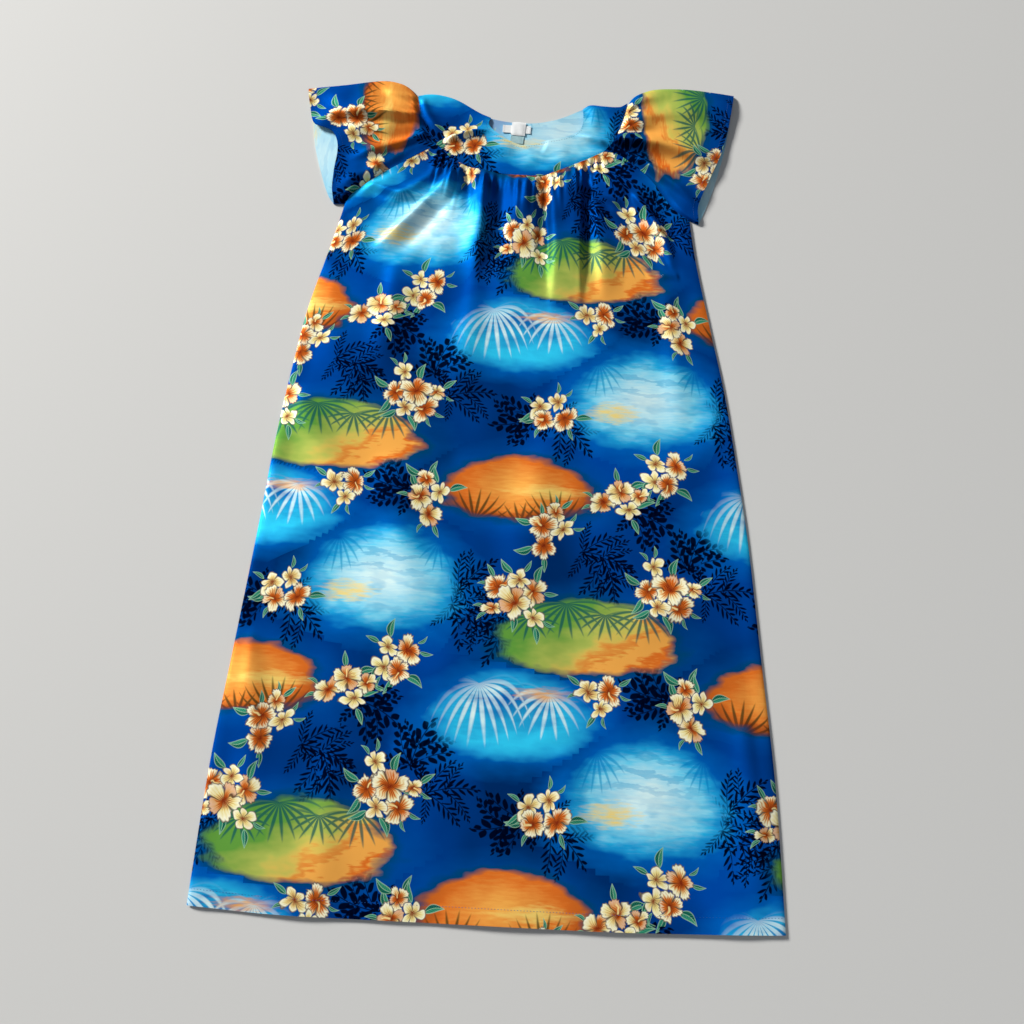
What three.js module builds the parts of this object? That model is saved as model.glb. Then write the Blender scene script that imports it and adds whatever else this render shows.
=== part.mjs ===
// A floor-length muumuu in printed cotton, laid flat on its back: two panels gathered to a round yoke,
// two gathered flutter sleeves, and a blank woven label inside the back of the neck.
// Millimetres, +Z up. +Y runs from the hem to the neck, and the origin is under the middle of the dress.
import * as THREE from "three";

// Cloth
const WALL = 1.2; // thickness of one layer of cloth
const GAP = 0.3; // clearance between two pieces of cloth
const LAYER = WALL + GAP; // underside of whatever lies on the back layer
const LABEL_WALL = 1.0;

// How finely each seam is divided
const GATHERS = 22; // small gathers along the front yoke seam
const SEAM_STEPS = 2 * GATHERS; // one step up and one step down for each gather
const YOKE_END_STEPS = 8; // along the edge where a sleeve joins the yoke
const ARMHOLE_STEPS = 10;
const ARMHOLE_SHARE = 0.11; // of the panel's cut width at the top, for each armhole
const SIDE_STEPS = 14;
const HEM_STEPS = 12;
const NECK_STEPS = 12;

// Heights of the upper layer over the back layer
const BODY_PUFF = 2.6;
const BODY_ROLL = 16; // how far in from the side seam the cloth has risen
const YOKE_PUFF = 3.2;
const YOKE_ROLL = 12;
const SLEEVE_PUFF = 8;
const SLEEVE_ROLL = 26;
const SLEEVE_SAG = 0.25; // share of the sleeve's puff that is lost at the armhole and at the hem
const SEAM_PUFF = 3.4;
const ARMPIT_SHARE = 0.4; // share of the armhole over which the seam comes down to the armpit
const SEAM_BLEND = 20; // distance from a seam at which cloth has its own height
const SEAM_SHARE = 0.15; // share of the gathered cloth's own height that is left at the seam
const GATHER_HEIGHT = 2.4;
const GATHER_LENGTH = 110;
const GATHER_RISE = 12; // below the seam, where the gathers stand highest
const GATHER_SEWN = 0.45; // share of their height that is left in the seam
const FAN_LENGTH = 420; // below the yoke, where the gathered cloth has spread to its full width
const FOLD_LEAD = 0.2; // share of a fold's length over which it rises, before its first point
const FOLD_FADE = 0.45; // share of its length over which it fades, at its far end
const FOLD_TURN = 1.4; // walls between a sleeve's folded edge and the inside of the fold
const HEM_STEP = 3; // the back layer ends this far short of the front one at the hem

// Side seams of the dress, from the armpits to the hem.
const SIDES = [
  { y: 560, left: -282, right: 272 },
  { y: 432, left: -301, right: 286 },
  { y: 352, left: -317, right: 296 },
  { y: 232, left: -343, right: 318 },
  { y: 112, left: -359, right: 341 },
  { y: -8, left: -371, right: 358 },
  { y: -128, left: -379, right: 373 },
  { y: -308, left: -393, right: 389 },
  { y: -488, left: -407, right: 405 },
  { y: -686, left: -414, right: 414 },
];

const HEM = [
  { x: -414, y: -686 },
  { x: -300, y: -692 },
  { x: -117, y: -693 },
  { x: 3, y: -693 },
  { x: 159, y: -693 },
  { x: 300, y: -690 },
  { x: 414, y: -686 },
];

// Yoke seams, each from the wearer's right shoulder (picture left) to the left one.
const YOKE_LEFT_END = [
  { x: -191, y: 649 },
  { x: -182, y: 610 },
  { x: -168, y: 579 },
  { x: -150, y: 556 },
];
const FRONT_YOKE_SEAM = [
  { x: -150, y: 556 },
  { x: -124, y: 530 },
  { x: -92, y: 514 },
  { x: -66, y: 509 },
  { x: -31, y: 503 },
  { x: 31, y: 503 },
  { x: 65, y: 516 },
  { x: 104, y: 536 },
  { x: 138, y: 556 },
];
const BACK_YOKE_SEAM = [
  { x: -150, y: 556 },
  { x: -75, y: 543 },
  { x: 0, y: 540 },
  { x: 70, y: 543 },
  { x: 138, y: 556 },
];
const YOKE_RIGHT_END = [
  { x: 138, y: 556 },
  { x: 154, y: 578 },
  { x: 168, y: 614 },
  { x: 177, y: 650 },
];
const LEFT_SHOULDER = [
  { x: -191, y: 656 },
  { x: -177, y: 661 },
  { x: -154, y: 661 },
  { x: -123, y: 652 },
  { x: -81, y: 627 },
  { x: -61, y: 618 },
];
const RIGHT_SHOULDER = [
  { x: 100, y: 644 },
  { x: 112, y: 652 },
  { x: 137, y: 651 },
  { x: 164, y: 651 },
  { x: 177, y: 657 },
];
const FRONT_NECK = [
  { x: -61, y: 618 },
  { x: -64, y: 603 },
  { x: -49, y: 586 },
  { x: -26, y: 571 },
  { x: 0, y: 563 },
  { x: 35, y: 573 },
  { x: 84, y: 588 },
  { x: 99, y: 606 },
  { x: 100, y: 644 },
];
const BACK_NECK = [
  { x: -61, y: 618 },
  { x: -45, y: 614 },
  { x: -18, y: 611 },
  { x: 8, y: 611 },
  { x: 34, y: 615 },
  { x: 60, y: 623 },
  { x: 100, y: 644 },
];

const LEFT_ARMHOLE = [
  { x: -150, y: 556 },
  { x: -165, y: 548 },
  { x: -205, y: 521 },
  { x: -241, y: 495 },
  { x: -264, y: 476 },
  { x: -291, y: 451 },
  { x: -301, y: 434 },
];
const RIGHT_ARMHOLE = [
  { x: 138, y: 556 },
  { x: 163, y: 551 },
  { x: 194, y: 527 },
  { x: 220, y: 503 },
  { x: 243, y: 468 },
  { x: 262, y: 444 },
  { x: 286, y: 428 },
];

// Edges of each sleeve beyond its armhole: the folds over the shoulder and under the arm, and
// both layers' hems
const LEFT_SLEEVE = {
  over: [
    { x: -193, y: 656 },
    { x: -204, y: 669 },
    { x: -223, y: 681 },
    { x: -254, y: 686 },
    { x: -324, y: 674 },
    { x: -387, y: 663 },
  ],
  under: [
    { x: -303, y: 432 },
    { x: -320, y: 433 },
  ],
  upperHem: [
    { x: -387, y: 663 },
    { x: -379, y: 622 },
    { x: -368, y: 588 },
    { x: -336, y: 575 },
    { x: -323, y: 545 },
    { x: -324, y: 505 },
    { x: -325, y: 465 },
    { x: -320, y: 433 },
  ],
  lowerHem: [
    { x: -387, y: 663 },
    { x: -376, y: 611 },
    { x: -362, y: 540 },
    { x: -346, y: 488 },
    { x: -332, y: 451 },
    { x: -320, y: 433 },
  ],
};
const RIGHT_SLEEVE = {
  over: [
    { x: 179, y: 657 },
    { x: 187, y: 670 },
    { x: 200, y: 680 },
    { x: 226, y: 690 },
    { x: 271, y: 693 },
    { x: 306, y: 691 },
    { x: 365, y: 683 },
  ],
  under: [
    { x: 288, y: 426 },
    { x: 301, y: 422 },
  ],
  upperHem: [
    { x: 365, y: 683 },
    { x: 353, y: 610 },
    { x: 339, y: 556 },
    { x: 317, y: 500 },
    { x: 300, y: 453 },
    { x: 301, y: 422 },
  ],
  lowerHem: [
    { x: 365, y: 683 },
    { x: 354, y: 605 },
    { x: 343, y: 552 },
    { x: 327, y: 492 },
    { x: 311, y: 446 },
    { x: 301, y: 422 },
  ],
};

// Folds: each runs from one place to another, bows sideways, and has its own height and half widths.
const BODY_FOLDS = [
  { fromX: 63, fromY: 505, toX: 74, toY: 200, bow: 0, height: 6.5, width: 19, endWidth: 30 },
  { fromX: 96, fromY: 520, toX: 102, toY: 240, bow: 0, height: 4, width: 5, endWidth: 8 },
  { fromX: 33, fromY: 503, toX: 34, toY: 330, bow: 3, height: -3, width: 8, endWidth: 12 },
  { fromX: -1, fromY: 505, toX: 4, toY: 390, bow: 2, height: 5, width: 16, endWidth: 26 },
  { fromX: -34, fromY: 503, toX: -25, toY: 320, bow: 4, height: -3.5, width: 8, endWidth: 14 },
  { fromX: -66, fromY: 508, toX: -60, toY: 360, bow: 3, height: 7, width: 9, endWidth: 16 },
  { fromX: -84, fromY: 512, toX: -84, toY: 370, bow: -3, height: -3, width: 7, endWidth: 12 },
  { fromX: -106, fromY: 520, toX: -160, toY: 330, bow: 8, height: 5, width: 10, endWidth: 22 },
  { fromX: -140, fromY: 470, toX: -262, toY: 326, bow: 6, height: 6, width: 9, endWidth: 14 },
  { fromX: -262, fromY: 472, toX: -150, toY: 452, bow: -9, height: 4.5, width: 11, endWidth: 9 },
  { fromX: 108, fromY: 530, toX: 190, toY: 460, bow: -6, height: 6, width: 7, endWidth: 9 },
  { fromX: 92, fromY: 495, toX: 155, toY: 458, bow: -7, height: 4, width: 5, endWidth: 7 },
  { fromX: 190, fromY: 465, toX: 260, toY: 318, bow: 10, height: 7, width: 9, endWidth: 12 },
  { fromX: 262, fromY: 320, toX: 226, toY: 314, bow: -3, height: 4, width: 6, endWidth: 6 },
  { fromX: 150, fromY: 430, toX: 176, toY: 250, bow: 5, height: 4, width: 12, endWidth: 24 },
  { fromX: -205, fromY: 300, toX: -236, toY: 90, bow: 8, height: 3.5, width: 16, endWidth: 30 },
  { fromX: -70, fromY: 330, toX: -92, toY: 60, bow: 6, height: 3.5, width: 14, endWidth: 30 },
  { fromX: 250, fromY: 260, toX: 268, toY: -10, bow: 5, height: 3.5, width: 14, endWidth: 30 },
  { fromX: 320, fromY: 40, toX: 150, toY: -110, bow: 14, height: 4, width: 26, endWidth: 34 },
  { fromX: -330, fromY: 60, toX: -210, toY: -110, bow: -10, height: 3.5, width: 22, endWidth: 34 },
  { fromX: -180, fromY: -60, toX: -120, toY: -330, bow: 10, height: 4, width: 30, endWidth: 40 },
  { fromX: 60, fromY: 20, toX: 40, toY: -260, bow: -8, height: 3.5, width: 30, endWidth: 44 },
  { fromX: -370, fromY: -330, toX: -345, toY: -600, bow: 8, height: 4, width: 16, endWidth: 26 },
  { fromX: 180, fromY: -330, toX: 330, toY: -560, bow: -10, height: 4, width: 26, endWidth: 36 },
  { fromX: -60, fromY: -420, toX: -90, toY: -700, bow: 6, height: 3.5, width: 26, endWidth: 40 },
  { fromX: 110, fromY: -480, toX: 120, toY: -700, bow: -6, height: 3, width: 24, endWidth: 36 },
  { fromX: 360, fromY: -420, toX: 372, toY: -700, bow: 4, height: 4, width: 14, endWidth: 22 },
  { fromX: -230, fromY: -500, toX: -236, toY: -700, bow: 4, height: 3, width: 20, endWidth: 30 },
];
const YOKE_FOLDS = [
  { fromX: -128, fromY: 569, toX: -60, toY: 590, bow: 3, height: 4.5, width: 7, endWidth: 5 },
  { fromX: 158, fromY: 560, toX: 82, toY: 588, bow: -3, height: 4.5, width: 7, endWidth: 5 },
  { fromX: -184, fromY: 640, toX: -140, toY: 575, bow: -6, height: 4, width: 9, endWidth: 9 },
  { fromX: -30, fromY: 560, toX: -60, toY: 520, bow: 3, height: 2, width: 14, endWidth: 14 },
  { fromX: 40, fromY: 560, toX: 80, toY: 545, bow: 3, height: 2, width: 12, endWidth: 12 },
  { fromX: 118, fromY: 640, toX: 122, toY: 590, bow: 2, height: 2.5, width: 9, endWidth: 12 },
];
const LEFT_SLEEVE_FOLDS = [
  { fromX: -190, fromY: 604, toX: -372, toY: 612, bow: -5, height: 9, width: 9, endWidth: 19 },
  { fromX: -196, fromY: 590, toX: -330, toY: 562, bow: 4, height: -5, width: 8, endWidth: 16 },
  { fromX: -186, fromY: 625, toX: -380, toY: 650, bow: 8, height: 4, width: 9, endWidth: 22 },
  { fromX: -178, fromY: 578, toX: -320, toY: 520, bow: 6, height: 5, width: 8, endWidth: 20 },
  { fromX: -215, fromY: 530, toX: -325, toY: 462, bow: 5, height: 4.5, width: 9, endWidth: 16 },
  { fromX: -196, fromY: 648, toX: -262, toY: 668, bow: 5, height: 4, width: 7, endWidth: 12 },
];
const RIGHT_SLEEVE_FOLDS = [
  { fromX: 150, fromY: 566, toX: 345, toY: 548, bow: 16, height: 10, width: 9, endWidth: 18 },
  { fromX: 168, fromY: 556, toX: 312, toY: 508, bow: 6, height: -4, width: 8, endWidth: 14 },
  { fromX: 176, fromY: 546, toX: 302, toY: 447, bow: 8, height: 7, width: 8, endWidth: 11 },
  { fromX: 160, fromY: 590, toX: 235, toY: 612, bow: 6, height: 4.5, width: 7, endWidth: 12 },
  { fromX: 166, fromY: 612, toX: 352, toY: 640, bow: 8, height: 4, width: 8, endWidth: 26 },
  { fromX: 174, fromY: 640, toX: 232, toY: 668, bow: 5, height: 4, width: 7, endWidth: 12 },
];

// Distances of the front panel's rows below the yoke seam, and shares of the way across a yoke and a sleeve
const BODY_ROWS = [
  0, 7, 17, 30, 47, 68, 94, 126, 164, 210, 264, 326, 400, 486, 586, 700, 824, 950, 1070, 1160, 1196,
];
const YOKE_ROWS = [0, 0.12, 0.35, 0.6, 0.85, 1];
const SLEEVE_REACH = [0, 0.05, 0.13, 0.24, 0.37, 0.5, 0.63, 0.76, 0.88, 0.96, 1];

const LABEL = { x: -16, y: 597, width: 47, depth: 26, turn: 0.03 };
const SIZE_TAB = { x: -15, y: 576.5, width: 22, depth: 14, turn: 0.03 };

const mix = (a, b, share) => a + (b - a) * share;
const clamp = (value, low, high) => Math.min(Math.max(value, low), high);
const ease = (share) => {
  const s = clamp(share, 0, 1);
  return s * s * (3 - 2 * s);
};
// The rise of cloth that rolls up from an edge, from 0 at the edge to 1 at the reach.
const roll = (distance, reach) => Math.sqrt(1 - (1 - clamp(distance / reach, 0, 1)) ** 2);

// A smooth curve through a table's rows, read by one rising column.
function smooth(places, values) {
  const slope = (i) => {
    const before = Math.max(i - 1, 0);
    const after = Math.min(i + 1, places.length - 1);
    return (values[after] - values[before]) / (places[after] - places[before]);
  };
  return (place) => {
    let i = 1;
    while (i < places.length - 1 && places[i] < place) i += 1;
    const step = places[i] - places[i - 1];
    const t = (place - places[i - 1]) / step;
    const rise = values[i] - values[i - 1];
    const first = slope(i - 1) * step;
    const last = slope(i) * step;
    return values[i - 1] + t * (first + t * (3 * rise - 2 * first - last + t * (first + last - 2 * rise)));
  };
}

// A smooth line through points, as a function of the share of its length.
function line(points) {
  const along = [0];
  for (let i = 1; i < points.length; i += 1) {
    along.push(along[i - 1] + Math.hypot(points[i].x - points[i - 1].x, points[i].y - points[i - 1].y));
  }
  const x = smooth(along, points.map((p) => p.x));
  const y = smooth(along, points.map((p) => p.y));
  return (share) => new THREE.Vector2(x(share * along.at(-1)), y(share * along.at(-1)));
}

const risingSides = [...SIDES].reverse();
const leftSide = smooth(risingSides.map((row) => row.y), risingSides.map((row) => row.left));
const rightSide = smooth(risingSides.map((row) => row.y), risingSides.map((row) => row.right));

const even = (count) => Array.from({ length: count + 1 }, (_, i) => i / count);
const stations = (points, count) => even(count).map(line(points));

// Points closer together at both ends, where a tube of cloth folds over.
const foldedShares = (count) => even(count).map((s) => 0.5 - 0.5 * Math.cos(Math.PI * s));

function foldHeight(folds, x, y) {
  let height = 0;
  for (const fold of folds) {
    const dx = fold.toX - fold.fromX;
    const dy = fold.toY - fold.fromY;
    const length = Math.hypot(dx, dy);
    const along = ((x - fold.fromX) * dx + (y - fold.fromY) * dy) / length ** 2;
    if (along < -FOLD_LEAD || along > 1) continue;
    const held = clamp(along, 0, 1);
    const across = ((y - fold.fromY) * dx - (x - fold.fromX) * dy) / length;
    const aside = across - fold.bow * 4 * held * (1 - held);
    const width = mix(fold.width, fold.endWidth, held);
    const fade = ease((along + FOLD_LEAD) / FOLD_LEAD) * ease((1 - along) / FOLD_FADE);
    height += fold.height * fade * Math.exp(-((aside / width) ** 2));
  }
  return height;
}

// A wall of cloth over a grid of upper points. Its edges drop straight down, which keeps
// neighbours clear of it.
function clothWall(grid, wall) {
  const rows = grid.length;
  const columns = grid[0].length;
  const positions = [];
  const lower = [];
  const at = (i, j) => grid[clamp(i, 0, rows - 1)][clamp(j, 0, columns - 1)];
  for (let i = 0; i < rows; i += 1) {
    for (let j = 0; j < columns; j += 1) {
      const point = grid[i][j];
      positions.push(point.x, point.y, point.z);
      const isEdge = i === 0 || j === 0 || i === rows - 1 || j === columns - 1;
      const down = new THREE.Vector3(0, 0, -1);
      if (!isEdge) {
        const alongRow = at(i, j + 1).clone().sub(at(i, j - 1));
        const alongColumn = at(i + 1, j).clone().sub(at(i - 1, j));
        down.crossVectors(alongRow, alongColumn).normalize();
        if (down.z > 0) down.negate();
      }
      lower.push(point.x + down.x * wall, point.y + down.y * wall, Math.max(point.z + down.z * wall, LAYER));
    }
  }
  positions.push(...lower);
  const under = rows * columns;
  const index = [];
  const quad = (a, b, c, d) => index.push(a, b, c, a, c, d);
  for (let i = 0; i < rows - 1; i += 1) {
    for (let j = 0; j < columns - 1; j += 1) {
      const a = i * columns + j;
      quad(a, a + columns, a + columns + 1, a + 1);
      quad(under + a, under + a + 1, under + a + columns + 1, under + a + columns);
    }
  }
  const border = [];
  for (let j = 0; j < columns - 1; j += 1) border.push(j);
  for (let i = 0; i < rows - 1; i += 1) border.push(i * columns + columns - 1);
  for (let j = columns - 1; j > 0; j -= 1) border.push((rows - 1) * columns + j);
  for (let i = rows - 1; i > 0; i -= 1) border.push(i * columns);
  border.forEach((a, i) => {
    const b = border[(i + 1) % border.length];
    quad(a, b, under + b, under + a);
  });
  return closedGeometry(positions, index);
}

function closedGeometry(positions, index) {
  const geometry = new THREE.BufferGeometry();
  geometry.setAttribute("position", new THREE.Float32BufferAttribute(positions, 3));
  geometry.setIndex(index);
  geometry.computeVertexNormals();
  return geometry;
}

// A flat piece of cloth with the given outline, lying from one height to another.
function flatPiece(outline, bottom, thickness) {
  const geometry = new THREE.ExtrudeGeometry(new THREE.Shape(outline), {
    depth: thickness,
    bevelEnabled: false,
  });
  return geometry.translate(0, 0, bottom);
}

// A run of points moved to the left of its own direction, so that two pieces cut along one line stay apart.
function beside(run, distance, isClosed) {
  const last = run.length - 1;
  return run.map((point, i) => {
    const before = run[i > 0 ? i - 1 : isClosed ? last : 0];
    const after = run[i < last ? i + 1 : isClosed ? 0 : last];
    const whole = after.clone().sub(before).normalize();
    const arriving = i > 0 || isClosed ? point.clone().sub(before).normalize() : whole;
    const leaving = i < last || isClosed ? after.clone().sub(point).normalize() : whole;
    const across = new THREE.Vector2(-(arriving.y + leaving.y), arriving.x + leaving.x).normalize();
    const corner = Math.max(across.dot(new THREE.Vector2(-arriving.y, arriving.x)), 0.25);
    return point.clone().addScaledVector(across, distance / corner);
  });
}

const trimmed = (outline, distance) =>
  beside(outline, THREE.ShapeUtils.area(outline) > 0 ? distance : -distance, true);

const joined = (...runs) => runs.flatMap((run, i) => (i ? run.slice(1) : run));
const backwards = (run) => [...run].reverse();

// Seam stations shared by the pieces on both sides of each seam
const leftEnd = stations(YOKE_LEFT_END, YOKE_END_STEPS);
const rightEnd = stations(YOKE_RIGHT_END, YOKE_END_STEPS);
const frontSeam = stations(FRONT_YOKE_SEAM, SEAM_STEPS);
const backSeam = stations(BACK_YOKE_SEAM, GATHERS);
const leftArm = stations(LEFT_ARMHOLE, ARMHOLE_STEPS);
const rightArm = stations(RIGHT_ARMHOLE, ARMHOLE_STEPS);

// The height of the upper layer's top face where pieces are sewn together, lower towards the armpit.
const seamTop = (share) => LAYER + WALL + SEAM_PUFF * roll(1 - share, ARMPIT_SHARE);

function bodyHeight(x, y) {
  const inside = Math.min(x - leftSide(y), rightSide(y) - x);
  const puff = BODY_PUFF * roll(inside, BODY_ROLL);
  return LAYER + WALL + puff + foldHeight(BODY_FOLDS, x, y) * ease(inside / (2 * BODY_ROLL));
}

// Share of the panel's cut width at each station of its top edge, from armpit to armpit
function cutShare(j, columns) {
  if (j < ARMHOLE_STEPS) return (ARMHOLE_SHARE * j) / ARMHOLE_STEPS;
  if (j > columns - ARMHOLE_STEPS) return 1 - cutShare(columns - j, columns);
  return ARMHOLE_SHARE + ((1 - 2 * ARMHOLE_SHARE) * (j - ARMHOLE_STEPS)) / SEAM_STEPS;
}

// The small gathers under the yoke: one station up and the next down, of uneven height
function gather(j, columns, distance) {
  if (j < ARMHOLE_STEPS || j > columns - ARMHOLE_STEPS) return 0;
  const wave = Math.cos(Math.PI * (j - ARMHOLE_STEPS));
  const uneven = 1 + 0.45 * Math.sin(0.9 * j) * Math.sin(0.37 * j + 1);
  const rise = mix(GATHER_SEWN, 1, ease(distance / GATHER_RISE));
  return GATHER_HEIGHT * uneven * wave * rise * ease(1 - distance / GATHER_LENGTH);
}

function frontPanel() {
  const top = joined(backwards(leftArm), frontSeam, rightArm);
  const hem = line(HEM);
  const columns = top.length - 1;
  const length = BODY_ROWS.at(-1);
  const grid = BODY_ROWS.map((distance) =>
    top.map((start, j) => {
      const y = mix(start.y, hem(cutShare(j, columns)).y, distance / length);
      const startShare = (start.x - leftSide(start.y)) / (rightSide(start.y) - leftSide(start.y));
      const across = mix(startShare, cutShare(j, columns), ease(distance / FAN_LENGTH));
      const x = mix(leftSide(y), rightSide(y), across);
      const own = bodyHeight(x, y) + gather(j, columns, distance);
      const fromArmpit = Math.min(j, columns - j);
      const armShare = Math.max(1 - fromArmpit / ARMHOLE_STEPS, 0);
      const z = mix(seamTop(armShare), own, mix(SEAM_SHARE, 1, ease(distance / SEAM_BLEND)));
      return new THREE.Vector3(x, y, Math.max(z, LAYER + WALL));
    }),
  );
  grid[0].forEach((point) => {
    point.y -= GAP / 2;
  });
  return clothWall(grid, WALL);
}

function backPanel() {
  const sideRun = (side, from, to) =>
    even(SIDE_STEPS).map((share) => new THREE.Vector2(side(mix(from, to, share)), mix(from, to, share)));
  const hem = stations(HEM, HEM_STEPS).map((p) => new THREE.Vector2(p.x, p.y + HEM_STEP));
  const left = sideRun(leftSide, LEFT_ARMHOLE.at(-1).y, hem[0].y);
  const right = sideRun(rightSide, hem[0].y, RIGHT_ARMHOLE.at(-1).y);
  const outline = joined(leftArm, left, hem, right, backwards(rightArm), backwards(backSeam));
  return flatPiece(trimmed(outline.slice(0, -1), GAP / 2), 0, WALL);
}

function backYoke() {
  const left = stations(LEFT_SHOULDER, YOKE_END_STEPS);
  const neck = stations(BACK_NECK, NECK_STEPS);
  const right = stations(RIGHT_SHOULDER, YOKE_END_STEPS);
  const outline = [...joined(leftEnd, backSeam, rightEnd), ...backwards(joined(left, neck, right))];
  return flatPiece(trimmed(outline, GAP / 2), 0, WALL);
}

function frontYoke() {
  const outer = joined(leftEnd, frontSeam, rightEnd);
  const inner = joined(
    stations(LEFT_SHOULDER, YOKE_END_STEPS),
    stations(FRONT_NECK, SEAM_STEPS),
    stations(RIGHT_SHOULDER, YOKE_END_STEPS),
  );
  const last = outer.length - 1;
  const grid = YOKE_ROWS.map((share) =>
    outer.map((low, j) => {
      const high = inner[j];
      const x = mix(low.x, high.x, share);
      const y = mix(low.y, high.y, share);
      const fromEnd = Math.min(j, last - j);
      const shoulder = fromEnd <= YOKE_END_STEPS;
      const toFold = shoulder ? (1 - share) * low.distanceTo(high) : YOKE_ROLL;
      const creases = foldHeight(YOKE_FOLDS, x, y) * ease(toFold / YOKE_ROLL);
      const own = LAYER + WALL + YOKE_PUFF * roll(toFold, YOKE_ROLL) + creases;
      const fromSeam = share * low.distanceTo(high);
      return new THREE.Vector3(x, y, mix(seamTop(0), own, ease(fromSeam / SEAM_BLEND)));
    }),
  );
  grid[0].forEach((point, j) => {
    point.lerp(grid.at(-1)[j], GAP / 2 / Math.max(point.distanceTo(grid.at(-1)[j]), GAP));
  });
  return clothWall(backwards(grid), WALL);
}

// A sleeve: a tube of cloth pressed flat, sewn to the yoke's end and the armhole, and open at its hem.
function sleeve(shape, side, folds) {
  const end = side < 0 ? leftEnd : backwards(rightEnd);
  const arm = side < 0 ? leftArm : rightArm;
  const seam = joined(end, arm);
  const steps = seam.length - 1;
  const hemShares = foldedShares(steps);
  const over = line(shape.over);
  const under = line(shape.under);
  const parted = beside(seam, side * GAP, false);
  parted[0] = over(0);
  // A patch between the seam, the hem and the two folds
  const place = (hem, across, j) => {
    const inner = parted[j].clone();
    const down = j / steps;
    const outer = hem(hemShares[j]);
    const first = over(across).sub(over(0)).sub(over(1).sub(over(0)).multiplyScalar(across));
    const last = under(across).sub(under(0)).sub(under(1).sub(under(0)).multiplyScalar(across));
    return inner.lerp(outer, across).addScaledVector(first, (1 - down) ** 2).addScaledVector(last, down ** 2);
  };
  const upperHem = line(shape.upperHem);
  const lowerHem = line(shape.lowerHem);
  const outside = [];
  const inside = [];
  for (const across of SLEEVE_REACH) {
    const upper = seam.map((_, j) => place(upperHem, across, j));
    const lower = seam.map((_, j) => place(lowerHem, across, j));
    const ringOut = [];
    const ringIn = [];
    upper.forEach((p, j) => {
      const toFold = Math.min(p.distanceTo(upper[0]), p.distanceTo(upper[steps]));
      const armShare = Math.max((j - YOKE_END_STEPS) / ARMHOLE_STEPS, 0);
      const sag = SLEEVE_SAG * (1 - Math.sin(Math.PI * across));
      const puff = SLEEVE_PUFF * roll(toFold, SLEEVE_ROLL) * (1 - sag);
      const own = puff + foldHeight(folds, p.x, p.y) * ease(toFold / SLEEVE_ROLL);
      const sewn = seamTop(armShare) - LAYER - WALL;
      const fromSeam = p.distanceTo(parted[j]);
      const lift = Math.max(mix(sewn, own, ease(fromSeam / SEAM_BLEND)), 0) * ease(toFold / WALL);
      ringOut.push(new THREE.Vector3(p.x, p.y, LAYER + WALL + lift));
      ringIn.push(new THREE.Vector3(p.x, p.y, LAYER + lift));
    });
    backwards(lower).forEach((p) => {
      ringOut.push(new THREE.Vector3(p.x, p.y, 0));
      ringIn.push(new THREE.Vector3(p.x, p.y, WALL));
    });
    // The inner face turns round one wall in from each fold
    const turns = [
      { at: 0, next: 1 },
      { at: steps, next: steps - 1 },
      { at: steps + 1, next: steps + 2 },
      { at: 2 * steps + 1, next: 2 * steps },
    ];
    for (const { at, next } of turns) {
      const inwards = ringIn[next].clone().sub(ringIn[at]).setZ(0);
      ringIn[at].add(inwards.clampLength(0, WALL * FOLD_TURN));
    }
    outside.push(ringOut);
    inside.push(ringIn);
  }
  return tubeWall(outside, inside);
}

// A tube with a wall: rings of outer points and inner points, closed by a rim at each end.
function tubeWall(outside, inside) {
  const rings = outside.length;
  const round = outside[0].length;
  const positions = [...outside, ...inside].flat().flatMap((p) => [p.x, p.y, p.z]);
  const index = [];
  const quad = (a, b, c, d) => index.push(a, b, c, a, c, d);
  const outer = (i, j) => i * round + (j % round);
  const inner = (i, j) => (rings + i) * round + (j % round);
  for (let i = 0; i < rings - 1; i += 1) {
    for (let j = 0; j < round; j += 1) {
      quad(outer(i, j), outer(i, j + 1), outer(i + 1, j + 1), outer(i + 1, j));
      quad(inner(i, j), inner(i + 1, j), inner(i + 1, j + 1), inner(i, j + 1));
    }
  }
  for (let j = 0; j < round; j += 1) {
    quad(outer(0, j), inner(0, j), inner(0, j + 1), outer(0, j + 1));
    quad(outer(rings - 1, j), outer(rings - 1, j + 1), inner(rings - 1, j + 1), inner(rings - 1, j));
  }
  return closedGeometry(positions, index);
}

// A small woven piece lying on the inside of the back yoke
function wovenPiece(size) {
  const geometry = new THREE.BoxGeometry(size.width, size.depth, LABEL_WALL);
  return geometry.rotateZ(size.turn).translate(size.x, size.y, LAYER + LABEL_WALL / 2);
}

// A geometry whose faces turn out whichever way its grid was drawn
function facingOut(geometry) {
  const flat = geometry.index ? geometry.toNonIndexed() : geometry;
  const p = flat.getAttribute("position");
  let volume = 0;
  for (let i = 0; i < p.count; i += 3) {
    const [a, b, c] = [0, 1, 2].map((k) => new THREE.Vector3().fromBufferAttribute(p, i + k));
    volume += a.dot(b.cross(c));
  }
  if (volume < 0) {
    for (let i = 0; i < p.count; i += 3) {
      const [b, c] = [1, 2].map((k) => new THREE.Vector3().fromBufferAttribute(p, i + k));
      p.setXYZ(i + 1, c.x, c.y, c.z);
      p.setXYZ(i + 2, b.x, b.y, b.z);
    }
  }
  return flat;
}

const printCloth = () => new THREE.MeshStandardMaterial({ color: 0x0a4aa8, roughness: 0.55, metalness: 0 });
const clothReverse = () => new THREE.MeshStandardMaterial({ color: 0x5f9fd0, roughness: 0.7, metalness: 0 });
const labelCloth = () => new THREE.MeshStandardMaterial({ color: 0xf2f4f2, roughness: 0.8, metalness: 0 });

function piece(name, geometry, material) {
  const mesh = new THREE.Mesh(facingOut(geometry), material);
  mesh.name = name;
  return mesh;
}

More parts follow.
